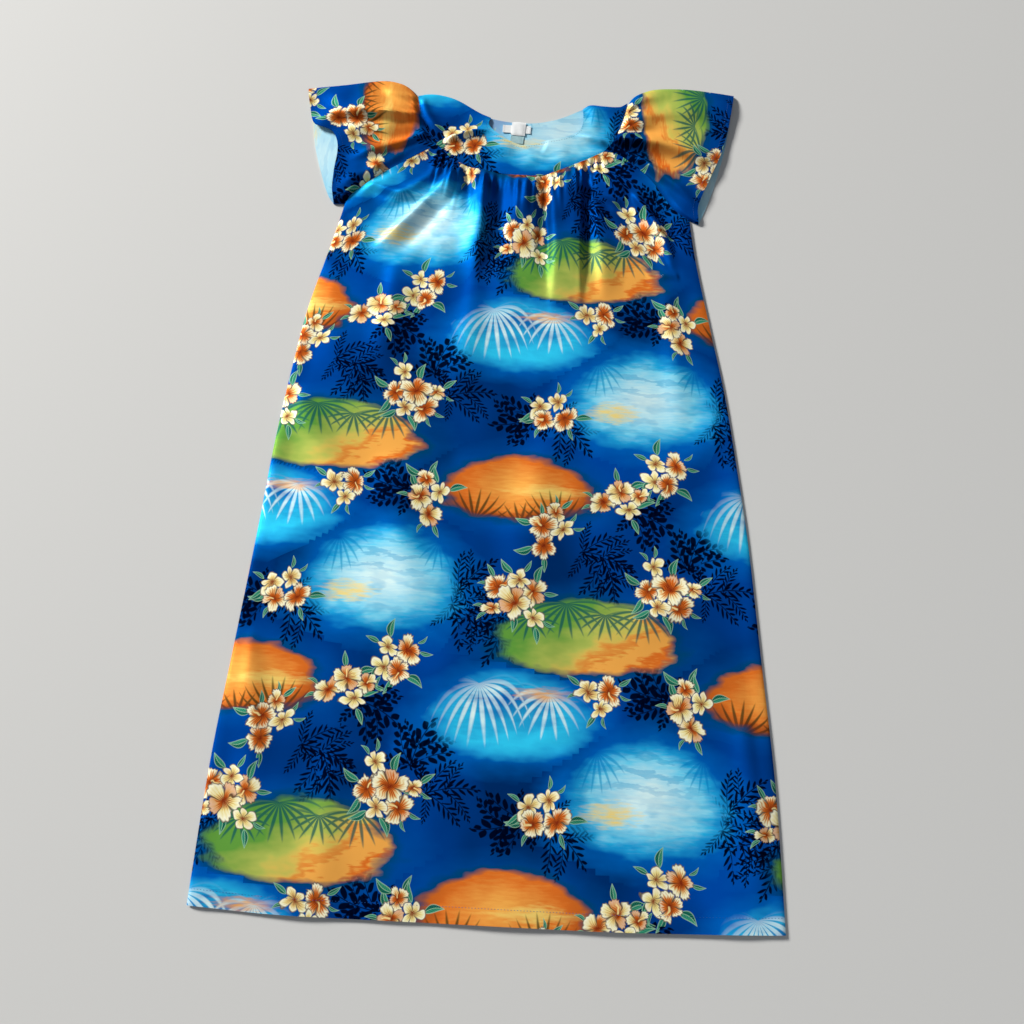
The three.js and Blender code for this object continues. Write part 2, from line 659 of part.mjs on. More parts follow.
const dress = new THREE.Group();
dress.add(piece("back_panel", backPanel(), printCloth()));
dress.add(piece("back_yoke", backYoke(), clothReverse()));
dress.add(piece("front_panel", frontPanel(), printCloth()));
dress.add(piece("front_yoke", frontYoke(), printCloth()));
dress.add(piece("sleeve_left", sleeve(LEFT_SLEEVE, -1, LEFT_SLEEVE_FOLDS), printCloth()));
dress.add(piece("sleeve_right", sleeve(RIGHT_SLEEVE, 1, RIGHT_SLEEVE_FOLDS), printCloth()));
dress.add(piece("neck_label", wovenPiece(LABEL), labelCloth()));
dress.add(piece("size_tab", wovenPiece(SIZE_TAB), labelCloth()));

export default dress;
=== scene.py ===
import math
from collections import namedtuple
from functools import partialmethod

import bpy
import numpy as np
from mathutils import Matrix, Vector, noise


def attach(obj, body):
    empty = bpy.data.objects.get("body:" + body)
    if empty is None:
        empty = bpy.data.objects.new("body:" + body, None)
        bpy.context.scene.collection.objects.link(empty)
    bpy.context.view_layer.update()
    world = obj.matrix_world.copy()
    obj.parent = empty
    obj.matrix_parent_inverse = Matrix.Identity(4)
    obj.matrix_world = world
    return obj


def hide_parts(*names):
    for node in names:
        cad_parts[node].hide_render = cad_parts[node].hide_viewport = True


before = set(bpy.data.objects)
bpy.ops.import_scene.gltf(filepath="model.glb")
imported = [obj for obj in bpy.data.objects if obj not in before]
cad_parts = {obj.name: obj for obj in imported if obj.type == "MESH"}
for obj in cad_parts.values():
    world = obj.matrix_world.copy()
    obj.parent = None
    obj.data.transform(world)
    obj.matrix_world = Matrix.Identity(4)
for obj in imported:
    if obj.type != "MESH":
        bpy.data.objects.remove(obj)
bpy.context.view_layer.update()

TAU = 2 * math.pi

# Camera, floor and lights
# The dress lies on its back on a pale floor. The view leans over it from the hem's side and is turned
# a little, and one large soft light comes from beyond the neck, so that it rakes over the folds.
CAMERA_PLACE = Vector((0.0287, -0.5065, 1.4246))
CAMERA_AIM = Vector((0.0095, -0.0985, 0.0))
CAMERA_TURN = math.radians(2.7)
CAMERA_LENS = 33.6  # millimetres, on a sensor of 36
FLOOR_SIZE = 14.0
FLOOR_DROP = 0.0004
FLOOR_COLOUR = (0.60, 0.60, 0.59, 1.0)
FLOOR_ROUGHNESS = 0.8
STUDIO_COLOUR = (0.86, 0.91, 1.0, 1.0)
STUDIO_STRENGTH = 0.16
# The lights: name, place, size, watts, colour
LIGHTS = (
    ("key light", (-9.6, 6.6, 5.9), 3.0, 2950, (1.0, 0.98, 0.94)),
    ("fill light", (1.2, -1.8, 2.6), 2.0, 11, (0.94, 0.97, 1.0)),
)


def shown(name, data):
    """A new object of the scene."""
    thing = bpy.data.objects.new(name, data)
    bpy.context.collection.objects.link(thing)
    return thing


def new_finish(name):
    """A new material, with its nodes and its shader."""
    material = bpy.data.materials.new(name)
    material.use_nodes = True
    return material, material.node_tree, material.node_tree.nodes["Principled BSDF"]


forward = (CAMERA_AIM - CAMERA_PLACE).normalized()
right = Vector((math.cos(CAMERA_TURN), math.sin(CAMERA_TURN), 0.0))
right = (right - forward * right.dot(forward)).normalized()
view_axes = Matrix((right, right.cross(forward), -forward)).transposed().to_4x4()
camera = shown("camera", bpy.data.cameras.new("camera"))
camera.data.lens = CAMERA_LENS
camera.matrix_world = Matrix.Translation(CAMERA_PLACE) @ view_axes
bpy.context.scene.camera = camera

bpy.ops.object.select_all(action="DESELECT")
bpy.ops.mesh.primitive_plane_add(size=FLOOR_SIZE, location=(0, 0, -FLOOR_DROP))
floor = bpy.context.object
floor.name = "floor"
bpy.ops.object.transform_apply(location=True, rotation=True, scale=True)
floor_paint, _, floor_shader = new_finish("pale floor")
floor_shader.inputs["Base Color"].default_value = FLOOR_COLOUR
floor_shader.inputs["Roughness"].default_value = FLOOR_ROUGHNESS
floor.data.materials.append(floor_paint)

world = bpy.data.worlds.new("studio")
world.use_nodes = True
background = world.node_tree.nodes["Background"]
background.inputs["Color"].default_value = STUDIO_COLOUR
background.inputs["Strength"].default_value = STUDIO_STRENGTH
bpy.context.scene.world = world
bpy.context.scene.view_settings.view_transform = "Standard"
for name, place, size, watts, colour in LIGHTS:
    light = bpy.data.lights.new(name, "AREA")
    light.size = size
    light.energy = watts
    light.color = colour
    lamp = shown(name, light)
    lamp.location = place
    lamp.rotation_euler = (CAMERA_AIM - Vector(place)).to_track_quat("-Z", "Y").to_euler()

# Back panel
# The lower layer of the dress: an A-line panel of printed poly-cotton, cut in one piece from the armpits
# to the hem and gathered into the back yoke. It lies flat on its printed side, and the front lies on it.
WALL = 0.0010  # one layer of cloth
SEAT = 0.0015  # underside of whatever lies on the back layer
TOP = 0.0027  # upper face of cloth that lies flat there
SEAM_PARTING = 0.00015  # each piece stays this far from a seam's line
PANEL_LENGTH = 1.196
ARMHOLE_SHARE = 0.11  # of the panel's width, for each armhole
FULLNESS = 1.42  # cloth gathered into each length of the seam
FAN_LENGTH = 0.42  # below the yoke, where the gathers have spread to the panel's full width
BACK_HEM_STEP = 0.003  # the back ends this far short of the front
BACK_PANEL_PRINT = 0.2  # how far across the repeat the panel is cut

# Side seams from the armpits to the hem: y, left, right
SIDES = (
    (0.56, -0.282, 0.272), (0.432, -0.301, 0.286), (0.352, -0.317, 0.296), (0.232, -0.343, 0.318),
    (0.112, -0.359, 0.341), (-0.008, -0.371, 0.358), (-0.128, -0.379, 0.373),
    (-0.308, -0.393, 0.389), (-0.488, -0.407, 0.405), (-0.686, -0.414, 0.414),
)
HEM = (
    (-0.414, -0.686), (-0.3, -0.692), (-0.117, -0.693), (0.003, -0.693), (0.159, -0.693), (0.3, -0.69),
    (0.414, -0.686),
)
BACK_YOKE_SEAM = (
    (-0.15, 0.556), (-0.075, 0.543), (0, 0.54), (0.07, 0.543), (0.138, 0.556),
)
LEFT_ARMHOLE = (
    (-0.15, 0.556), (-0.165, 0.548), (-0.205, 0.521), (-0.241, 0.495), (-0.264, 0.476), (-0.291, 0.451),
    (-0.301, 0.434),
)
RIGHT_ARMHOLE = (
    (0.138, 0.556), (0.163, 0.551), (0.194, 0.527), (0.22, 0.503), (0.243, 0.468), (0.262, 0.444),
    (0.286, 0.428),
)

# How finely the cloth is divided
ARMHOLE_STEPS = 38
GATHERS = 22
SEAM_STEPS = 6 * GATHERS
PANEL_ROWS = 200
BACK_SEAM_STEPS = 66
BACK_ROWS = 90


def smooth(places, values):
    """A smooth curve through a table's rows, read by one rising column."""
    places = np.asarray(places, float)
    values = np.asarray(values, float)
    order = np.arange(len(places))
    before = np.maximum(order - 1, 0)
    after = np.minimum(order + 1, len(places) - 1)
    slopes = (values[after] - values[before]) / (places[after] - places[before])

    def at(place):
        place = np.asarray(place, float)
        i = np.clip(np.searchsorted(places, place), 1, len(places) - 1)
        step = places[i] - places[i - 1]
        t = (place - places[i - 1]) / step
        rise = values[i] - values[i - 1]
        first = slopes[i - 1] * step
        last = slopes[i] * step
        bend = 3 * rise - 2 * first - last + t * (first + last - 2 * rise)
        return values[i - 1] + t * (first + t * bend)

    return at


def line(points):
    """A smooth line through points, as a function of the share of its length."""
    points = np.asarray(points, float)
    steps = np.hypot(*np.diff(points, axis=0).T)
    along = np.concatenate([[0.0], np.cumsum(steps)])
    x = smooth(along, points[:, 0])
    y = smooth(along, points[:, 1])
    return lambda share: np.stack([x(share * along[-1]), y(share * along[-1])], axis=-1)


def stations(points, steps):
    return line(points)(np.linspace(0, 1, steps + 1))


def joined(*runs):
    return np.concatenate([runs[0]] + [run[1:] for run in runs[1:]])


def mix(a, b, share):
    return a + (b - a) * share


def ease(share):
    s = np.clip(share, 0, 1)
    return s * s * (3 - 2 * s)


side_heights, lefts, rights = zip(*reversed(SIDES))
left_side = smooth(side_heights, lefts)
right_side = smooth(side_heights, rights)

# The print repeats in a half drop. Its places are measured on the cut cloth: across, and up.
REPEAT_WIDTH = 0.40
REPEAT_HEIGHT = 0.61
LAGOON, EMBER, MEADOW, BREEZE = range(4)
HIBISCUS, ORCHID, LILY = range(3)
FERN, BRANCH = range(2)
FLOWER_LAYERS = 3
LEAF_LAYERS = 2
FROND_LAYERS = 3

# Soft pools of colour: across, up, half width, half height, kind
POOLS = (
    (0.098, 0.537, 0.114, 0.078, LAGOON),
    (0.3, 0.077, 0.124, 0.054, EMBER),
    (0.008, 0.156, 0.14, 0.06, MEADOW),
    (0.301, 0.341, 0.116, 0.062, BREEZE),
)
# Bunches of flowers: across, up, turn in degrees, radius, kind, layer
GARLAND = (
    (-0.034, 0.024, 20, 0.027, HIBISCUS, 0),
    (0.004, 0.038, 140, 0.024, LILY, 1),
    (0.034, 0.014, 250, 0.026, HIBISCUS, 0),
    (-0.004, -0.006, 65, 0.031, ORCHID, 2),
    (0.038, -0.036, 310, 0.024, LILY, 1),
    (-0.046, -0.02, 180, 0.019, HIBISCUS, 1),
)
TRIO = (
    (-0.024, 0.004, 200, 0.029, ORCHID, 0),
    (0.015, 0.018, 80, 0.026, HIBISCUS, 1),
    (0.02, -0.024, 330, 0.025, LILY, 2),
    (0.05, 0, 20, 0.019, HIBISCUS, 0),
)
PAIR = (
    (-0.018, 0.004, 100, 0.0275, HIBISCUS, 1),
    (0.02, -0.008, 350, 0.025, LILY, 0),
    (0.008, 0.03, 240, 0.02, LILY, 2),
)
LILIES = (
    (-0.03, -0.006, 40, 0.024, LILY, 0),
    (0, 0.02, 120, 0.024, LILY, 1),
    (0.028, -0.01, 260, 0.028, ORCHID, 2),
    (-0.012, -0.03, 210, 0.023, HIBISCUS, 1),
)
# Where the bunches lie: across, up, turn in degrees, bunch
BUNCH_TIGHTNESS = 0.76
BUNCHES = (
    (-0.046, 0.515, -20, LILIES),
    (-0.099, 0.207, 0, GARLAND),
    (0.128, 0.23, 160, GARLAND),
    (0.05, 0.367, 15, TRIO),
    (0.124, 0.42, 40, LILIES),
    (0.348, 0.003, 75, TRIO),
    (0.162, 0.047, 100, TRIO),
    (0.029, 0.074, 200, PAIR),
)
# Dark boughs: across, up, heading in degrees, length, kind
BOUGHS = (
    (0, 0.285, -20, 0.09, FERN),
    (0.032, 0.276, -78, 0.084, FERN),
    (-0.12, 0.196, 196, 0.088, FERN),
    (-0.116, 0.178, 248, 0.084, FERN),
    (-0.04, 0.496, -48, 0.084, FERN),
    (-0.075, 0.502, 192, 0.08, BRANCH),
    (0.16, 0.262, 64, 0.08, BRANCH),
    (0.184, 0.226, 4, 0.082, FERN),
    (0.128, 0.066, 158, 0.08, BRANCH),
    (0.205, 0.5, -34, 0.088, FERN),
    (0.214, 0.522, 40, 0.08, FERN),
    (0.076, 0.352, -30, 0.08, BRANCH),
)
FLOWER_SIZE = 0.98
LEAF_LENGTH = 0.024
LEAF_SPREAD = 34  # degrees between a pair of leaves and the way out of the bunch
# A bough's other fronds: where each starts along it, its turn in degrees, its share of the length, layer
SIDE_FRONDS = (
    (0, 44, 0.8, 1), (0.02, -46, 0.84, 2), (0.34, 56, 0.62, 2), (0.38, -54, 0.66, 1),
    (0, 96, 0.58, 2), (0, -98, 0.54, 1),
)
INSTANCE_SPREAD = 0.3  # how far the kind's number strays, which gives each flower its own look

# A motif's start, heading in radians, length and width, kind, and whether it is a strip or a round
Motif = namedtuple("Motif", "across up turn length width kind strip")


def turned(across, up, turn):
    a = math.radians(turn)
    return across * math.cos(a) - up * math.sin(a), across * math.sin(a) + up * math.cos(a)


def flower_and_leaf_motifs():
    flowers = [[] for _ in range(FLOWER_LAYERS)]
    leaves = [[] for _ in range(LEAF_LAYERS)]
    for across, up, bunch_turn, bunch in BUNCHES:
        for number, (right, high, turn, radius, kind, layer) in enumerate(bunch):
            dx, dy = turned(right * BUNCH_TIGHTNESS, high * BUNCH_TIGHTNESS, bunch_turn)
            place = (across + dx, up + dy)
            heading = math.radians(turn + bunch_turn)
            radius *= FLOWER_SIZE
            tilted = radius * (0.84 + 0.14 * math.sin(4 * number + turn))
            look = kind + INSTANCE_SPREAD * math.sin(7 * number + 40 * across + 90 * up)
            flowers[layer].append(Motif(*place, heading, radius, tilted, look, 0))
            outwards = math.degrees(math.atan2(dy, dx)) + 9 * math.sin(5 * number + turn)
            for leaf_layer, spread in enumerate((-LEAF_SPREAD, LEAF_SPREAD)):
                whim = math.sin(3 * number + spread + turn + 50 * across)
                length = LEAF_LENGTH * (1 + 0.26 * whim)
                lean = math.radians(outwards + spread * (1 + 0.4 * whim))
                root = (place[0] + 0.62 * radius * math.cos(lean), place[1] + 0.62 * radius * math.sin(lean))
                leaves[leaf_layer].append(Motif(*root, lean, length, length, whim, 1))
    return flowers, leaves


def frond_motifs():
    fronds = [[] for _ in range(FROND_LAYERS)]
    for across, up, heading, length, kind in BOUGHS:
        fronds[0].append(Motif(across, up, math.radians(heading), length, length, kind, 1))
        for start, side, share, layer in SIDE_FRONDS:
            dx, dy = turned(start * length, 0, heading)
            lean = math.radians(heading + side)
            short = share * length
            fronds[layer].append(Motif(across + dx, up + dy, lean, short, short, kind, 1))
    return fronds


flower_layers, leaf_layers = flower_and_leaf_motifs()
PRINT_LAYERS = {
    "pool": [[Motif(across, up, 0, wide, high, kind, 0) for across, up, wide, high, kind in POOLS]],
    "frond": frond_motifs(),
    "leaf": leaf_layers,
    "flower": flower_layers,
}


def repeated(motifs, across, up):
    """Copies of a repeat's motifs over all of a piece, one row each, as the print's screen lays them."""
    rows = []
    first = math.floor(across.min() / REPEAT_WIDTH) - 1
    last = math.ceil(across.max() / REPEAT_WIDTH) + 1
    for column in range(first, last + 1):
        drop = (column % 2) * REPEAT_HEIGHT / 2
        low = math.floor((up.min() - drop) / REPEAT_HEIGHT) - 1
        high = math.ceil((up.max() - drop) / REPEAT_HEIGHT) + 1
        for row in range(low, high + 1):
            for motif in motifs:
                across_here = motif.across + column * REPEAT_WIDTH
                rows.append((across_here, motif.up + drop + row * REPEAT_HEIGHT, *motif[2:]))
    return np.array(rows)


def lay_print(mesh, corner_across, corner_up):
    """Gives each face the place of its corners in the nearest motif of each layer."""
    middle_across = corner_across.mean(axis=1)
    middle_up = corner_up.mean(axis=1)
    for name, layers in PRINT_LAYERS.items():
        for number, motifs in enumerate(layers):
            rows = repeated(motifs, corner_across, corner_up)
            nearest = np.zeros(len(middle_across), int)
            least = np.full(len(middle_across), np.inf)
            for i, row in enumerate(rows):
                x, y = in_motif(middle_across, middle_up, row)
                beyond = x - np.clip(x, 0, 1) * row[6]
                distance = np.hypot(beyond * row[3], y * row[4]) if row[6] else np.hypot(x, y)
                closer = distance < least
                nearest[closer] = i
                least[closer] = distance[closer]
            chosen = rows[nearest][:, :, None]
            x, y = in_motif(corner_across, corner_up, chosen.transpose(1, 0, 2))
            kind = np.broadcast_to(chosen[:, 5], x.shape)
            layer = mesh.attributes.new(f"{name}_{number}", "FLOAT_VECTOR", "CORNER")
            layer.data.foreach_set("vector", np.stack([x, y, kind], axis=-1).astype(np.float32).ravel())


def in_motif(across, up, row):
    """Places along and beside a motif, in its own lengths and widths."""
    dx = across - row[0]
    dy = up - row[1]
    cos = np.cos(row[2])
    sin = np.sin(row[2])
    return (dx * cos + dy * sin) / row[3], (dy * cos - dx * sin) / row[4]


class Ink:
    """A number that the printed cloth's shader works out at each point. Sums of these add Math nodes."""

    def __init__(self, tree, socket):
        self.tree = tree
        self.socket = socket

    def math(self, operation, *others, held=False):
        node = self.tree.nodes.new("ShaderNodeMath")
        node.operation = operation
        node.use_clamp = held
        self.tree.links.new(self.socket, node.inputs[0])
        for value, socket in zip(others, node.inputs[1:]):
            if isinstance(value, Ink):
                self.tree.links.new(value.socket, socket)
            else:
                socket.default_value = value
        return Ink(self.tree, node.outputs[0])

    __add__ = __radd__ = partialmethod(math, "ADD")
    __sub__ = partialmethod(math, "SUBTRACT")
    __rsub__ = partialmethod(math, "MULTIPLY_ADD", -1.0)
    __mul__ = __rmul__ = partialmethod(math, "MULTIPLY")
    __truediv__ = partialmethod(math, "DIVIDE")
    __pow__ = partialmethod(math, "POWER")
    __abs__ = partialmethod(math, "ABSOLUTE")
    sine = partialmethod(math, "SINE")
    root = partialmethod(math, "SQRT")
    held = partialmethod(math, "ADD", 0.0, held=True)

    def below(self, edge, blur):
        """1 where this number is under the edge and 0 where it is over it, with a soft border."""
        return (edge - self).math("MULTIPLY_ADD", 0.5 / blur, 0.5, held=True)


def stained(share, first, second):
    """The first colour turning into the second with the share, which is a number of the print."""
    node = share.tree.nodes.new("ShaderNodeMix")
    node.data_type = "RGBA"
    share.tree.links.new(share.socket, node.inputs[0])
    for colour, socket in ((first, node.inputs[6]), (second, node.inputs[7])):
        if isinstance(colour, tuple):
            socket.default_value = (*colour, 1.0)
        else:
            share.tree.links.new(colour, socket)
    return node.outputs[2]


def painted(colour, *coats):
    """A colour under coats of others, each as thick as its share of the print says."""
    for share, coat in coats:
        colour = stained(share, colour, coat)
    return colour


def parts(tree, vector):
    node = tree.nodes.new("ShaderNodeSeparateXYZ")
    tree.links.new(vector, node.inputs[0])
    return [Ink(tree, socket) for socket in node.outputs]


def placed(tree, name):
    node = tree.nodes.new("ShaderNodeAttribute")
    node.attribute_name = name
    return parts(tree, node.outputs["Vector"])


def on_cloth(tree):
    """Places on the cut cloth, across and up."""
    place = tree.nodes.new("ShaderNodeUVMap")
    place.uv_map = "cloth"
    return place.outputs[0]


def mottle(tree, scale, stretch, detail):
    """Soft random patches on the cut cloth, from 0 to 1, with its own number of spots to a metre."""
    turn = tree.nodes.new("ShaderNodeMapping")
    turn.inputs["Scale"].default_value = stretch
    tree.links.new(on_cloth(tree), turn.inputs[0])
    spots = tree.nodes.new("ShaderNodeTexNoise")
    spots.inputs["Scale"].default_value = scale
    spots.inputs["Detail"].default_value = detail
    tree.links.new(turn.outputs[0], spots.inputs["Vector"])
    return Ink(tree, spots.outputs[0])


GROUND_DEEP = (0.0, 0.026, 0.140)
GROUND_BRIGHT = (0.0, 0.066, 0.39)
HALO = (0.0, 0.15, 0.58)
WARM_FRINGE = (0.0, 0.055, 0.085)
NAVY = (0.0, 0.0015, 0.012)
CREAM = (0.89, 0.79, 0.30)
WHITE_PETAL = (0.99, 0.97, 0.74)
ORANGE = (0.64, 0.135, 0.016)
THROAT = (0.20, 0.020, 0.006)
OUTLINE = (0.06, 0.016, 0.008)
STAMEN = (0.95, 0.72, 0.30)
LEAF_DEEP = (0.0, 0.065, 0.050)
LEAF_MID = (0.05, 0.34, 0.20)
LEAF_RIM = (0.52, 0.80, 0.55)
AQUA = (0.03, 0.60, 0.92)
FOAM = (0.76, 0.97, 0.97)
LAGOON_BLUE = (0.010, 0.36, 0.66)
SUNNY = (0.93, 0.70, 0.18)
EMBER_ORANGE = (0.76, 0.17, 0.02)
EMBER_DARK = (0.16, 0.028, 0.012)
EMBER_GLOW = (0.92, 0.42, 0.08)
EMBER_LEAF = (0.04, 0.045, 0.012)
MEADOW_GREEN = (0.12, 0.33, 0.05)
MEADOW_YELLOW = (0.70, 0.66, 0.14)
FERN_TEAL = (0.006, 0.11, 0.095)
BREEZE_BLUE = (0.003, 0.11, 0.42)
PETALS = 5


def petals(x, y, whim, ruffle, pointed):
    """Distance out, the rim's distance, how far aside of its petal's middle, and the petal's own number."""
    out = (x * x + y * y).root()
    angle = y.math("ARCTAN2", x)
    turn = angle * (PETALS / TAU)
    number = (turn + 0.5).math("FLOOR")
    fancy = (number * (2 * TAU / PETALS) + whim).sine()
    side = (turn - number) * 2
    aside = abs(side)
    fullness = (1 - aside ** (2.6 - pointed * 1.3)).math("MAXIMUM", 0.0).root()
    fullness = fullness * (pointed * 0.24 + 0.40) + (0.60 - pointed * 0.24)
    rim = fullness * (fancy * (0.10 + pointed * 0.05) + 0.87)
    return out, rim + (angle * 25 + whim).sine() * ruffle, side, aside, fancy


def print_flower(tree, ground, layer, wander):
    x, y, look = placed(tree, f"flower_{layer}")
    x = x + wander * 0.30
    y = y + (wander * 9).sine() * 0.10
    kind = (look + 0.5).math("FLOOR")
    own = (look - kind) * (1 / INSTANCE_SPREAD)
    pointed = (kind - 1).held()
    out, rim, side, aside, fancy = petals(x, y, own * 9 + kind, (1 - pointed) * 0.035, pointed)
    share = out / rim
    streak = (side * 17 + own * 5).sine() * 0.09 + (side * 41).sine() * 0.05
    glow = (share + streak - own * 0.12).below(0.46, 0.22) * (1.1 - pointed * 0.8)
    blush = (side * 0.5 + 0.5) * (0.95 - share).held() * 0.42 + fancy.below(-0.60 - own * 0.4, 0.25) * 0.55
    glow = glow * (own * 0.35 + 1)
    gap = (1 - aside).below(0.17, 0.12) * (0.30 - share).below(0.0, 0.25)
    border = (1 - share).below(0.075, 0.045)
    pin = abs(y + x * x * 0.3).below(0.05, 0.03) * abs(x - 0.28).below(0.24, 0.04) * kind.below(0.5, 0.1)
    petal = painted(
        WHITE_PETAL,
        ((share + streak * 0.6).below(0.70, 0.20), CREAM),
        ((glow + blush * (1 - pointed * 0.8)).held(), ORANGE),
        ((share + streak * 1.5).below(0.26, 0.15), THROAT),
        (gap.math("MAXIMUM", border) * 0.9, OUTLINE),
        (pin, STAMEN),
    )
    return stained(share.below(1.0, 0.03), ground, petal)


def print_leaf(tree, ground, layer):
    x, y, look = placed(tree, f"leaf_{layer}")
    along = x.held()
    bent = y - (along * math.pi).sine() * look * 0.15
    belly = (along**0.75 * math.pi).sine() * (look * 0.03 + 0.17)
    side = abs(bent)
    inside = side.below(belly, 0.02) * abs(x - 0.5).below(0.5, 0.01)
    vein = ((along - side * 1.3) * 50).sine() * 0.3 + bent.below(0.0, 0.05) * 0.5 + 0.2
    rim = (belly - side).below(0.024, 0.024)
    ribs = side.below(0.010, 0.014).math("MAXIMUM", rim) * 0.75
    leaf = painted(LEAF_DEEP, (vein.held(), LEAF_MID), (ribs, LEAF_RIM))
    return stained(inside, ground, leaf)


def print_frond(tree, ground, layer, clear):
    x, y, kind = placed(tree, f"frond_{layer}")
    bent = y - (x * math.pi).sine() * 0.07
    side = abs(bent)
    slant = x - side * (1.10 - kind * 0.35)
    place = slant * (7 - kind * 2) + bent.below(0.0, 0.001) * 0.5
    number = place.math("FLOOR")
    reach = ((slant * 0.90 + 0.10).held() ** 0.75 * math.pi).sine() * (kind * 0.05 + 0.185)
    reach = (reach * ((number * 2.9).sine() * 0.16 + 0.92)).math("MAXIMUM", 0.001)
    beat = abs(place - number - 0.5) * 2
    share = (side / reach).math("MINIMUM", 1.0)
    thick = share * (1 - share) * (kind * 0.8 + 2.4)
    leaflet = beat.below(thick - 0.05, 0.10) * side.below(reach, 0.01) * abs(slant - 0.48).below(0.50, 0.01)
    stem = side.below(0.009, 0.007) * abs(x - 0.48).below(0.48, 0.01)
    return stained(leaflet.math("MAXIMUM", stem) * clear * 0.97, ground, NAVY)


def fan(x, y, right, high, reach, blades):
    """A spray of narrow blades that opens upwards from one point, in a pool's own measure."""
    dx = (x - right) * 1.9
    dy = y - high
    out = (dx * dx + dy * dy).root() / reach
    lean = dx.math("ARCTAN2", dy) + dx * abs(dx) * 0.5
    beat = abs((lean * (blades / TAU)).math("FRACT") - 0.5) * 2
    blade = beat.below((1 - out) * 0.95, 0.16) * out.below(1.0, 0.05)
    return blade * abs(lean).below(1.95, 0.2)


def fans(x, y, sprays):
    """Several sprays of a pool together."""
    together = fan(x, y, *sprays[0])
    for spray in sprays[1:]:
        together = together.math("MAXIMUM", fan(x, y, *spray))
    return together


# Sprays in the pools: across, up, reach, blades
LAGOON_SPRAYS = ((-0.62, -0.80, 0.75, 17), (0.72, -0.74, 0.60, 15))
EMBER_SPRAYS = ((-0.55, -1.02, 0.95, 19), (0.02, -1.12, 0.70, 15), (0.46, -1.05, 1.02, 21))
MEADOW_SPRAYS = (
    (-0.60, -0.42, 0.62, 15), (-0.22, -0.80, 0.90, 19), (0.20, -0.55, 0.66, 15), (0.60, -0.66, 0.80, 18),
)
BREEZE_SPRAYS = ((-0.42, -0.70, 1.45, 19), (0.48, -0.52, 1.05, 16))


def print_pool(tree, ground, wander):
    """The pools on their ground, and how clear of them each point of the cloth is."""
    x, y, kind = placed(tree, "pool_0")
    brush = mottle(tree, 34, (1, 3.2, 1), 3)
    cloud = mottle(tree, 22, (1, 2.0, 1), 2)
    streak = mottle(tree, 46, (1, 5.5, 1), 4)
    out = (x**2 + (y + x * x * 0.22) ** 2).root() + (brush - 0.5) * 0.08 + (cloud - 0.5) * 0.40
    is_warm = abs(kind - 1.5).below(1.0, 0.1)
    ground = painted(
        ground,
        (out.below(1.20, 0.34) * (0.9 - is_warm * 0.6), HALO),
        (out.below(1.02, 0.10) * is_warm * 0.85, WARM_FRINGE),
    )

    ripple = ((y * 21 + (x * 5).sine() * 1.4 + brush * 9).sine() * 2 - 0.5).held()
    drift = ((y + 0.22) * 9 + cloud * 12 + x * 2).sine().held() * y.below(0.0, 0.3)
    glow = ((x + 0.45) ** 2 * 3 + (y + 0.30) ** 2 * 8 + (streak - 0.5) * 1.4).below(0.20, 0.3)
    lagoon = painted(
        AQUA,
        ((out + (streak - 0.5) * 0.5).below(0.50, 0.42) * 0.94, FOAM),
        (ripple * (0.05 - y).below(0.0, 0.25) * 0.45, LAGOON_BLUE),
        (drift * 0.36, LAGOON_BLUE),
        (glow * 0.9, SUNNY),
        (fans(x, 0 - y, LAGOON_SPRAYS) * 0.75, LAGOON_BLUE),
    )

    dark_rim = (0.80 - out).below(0.0, 0.14) * (0.45 - y * 0.7).held()
    ember = painted(
        EMBER_ORANGE,
        ((out + abs(x) * 0.2 + (streak - 0.5) * 0.7).below(0.50, 0.40), EMBER_GLOW),
        ((abs(y + 0.1) * 2.2 + abs(x - 0.4) + (streak - 0.5)).below(0.42, 0.3) * 0.8, SUNNY),
        (fans(x, y, EMBER_SPRAYS) * 0.85, EMBER_LEAF),
        (dark_rim * 0.9, EMBER_DARK),
    )

    tide = x * 0.8 - y * 0.5 + (cloud - 0.5) * 0.7
    meadow = painted(
        MEADOW_YELLOW,
        (tide.below(0.0, 0.40), MEADOW_GREEN),
        ((0.30 - tide).below(0.0, 0.22), EMBER_GLOW),
        ((tide * 14 + streak * 5).sine().held() * (0.34 - tide).below(0.0, 0.2), EMBER_ORANGE),
        (fans(x, 0 - y, MEADOW_SPRAYS) * 0.85, FERN_TEAL),
    )

    glow = ((x - 0.42) ** 2 * 2 + (y - 0.50) ** 2 * 14 + (streak - 0.5) * 1.4).below(0.16, 0.3)
    breeze = painted(
        AQUA,
        ((0 - y + (cloud - 0.5) * 1.2).below(0.10, 0.6), BREEZE_BLUE),
        ((0.62 - out - (streak - 0.5) * 0.6).below(0.0, 0.2) * 0.8, AQUA),
        (fans(x, 0 - y, BREEZE_SPRAYS) * (cloud * 1.6 - 0.15).held(), FOAM),
        (glow * 0.85, EMBER_GLOW),
    )

    warm = stained(kind.below(1.5, 0.1), meadow, ember)
    cool = stained(kind.below(1.5, 0.1), breeze, lagoon)
    covered = out.below(0.92, 0.07) * is_warm + out.below(0.90, 0.20) * (1 - is_warm)
    return stained(covered, ground, stained(is_warm, cool, warm)), (0.96 - out).below(0.0, 0.10)


THREADS = 1300  # to the metre
LUSTRE = 0.20  # share of the cloth that shines in the colour of its own dyed threads
LUSTRE_EDGE = (0.05, 0.40, 0.80, 1.0)
WEAVE_STRENGTH = 0.35
WEAVE_DEPTH = 0.0002


def weave(tree):
    """Height of the plain weave, from the warp and weft threads."""
    across, up, _ = parts(tree, on_cloth(tree))
    warp = (across * (THREADS * TAU)).sine()
    weft = (up * (THREADS * TAU)).sine()
    return warp * weft * 0.5 + mottle(tree, 260, (1, 1, 1), 2) * 0.8


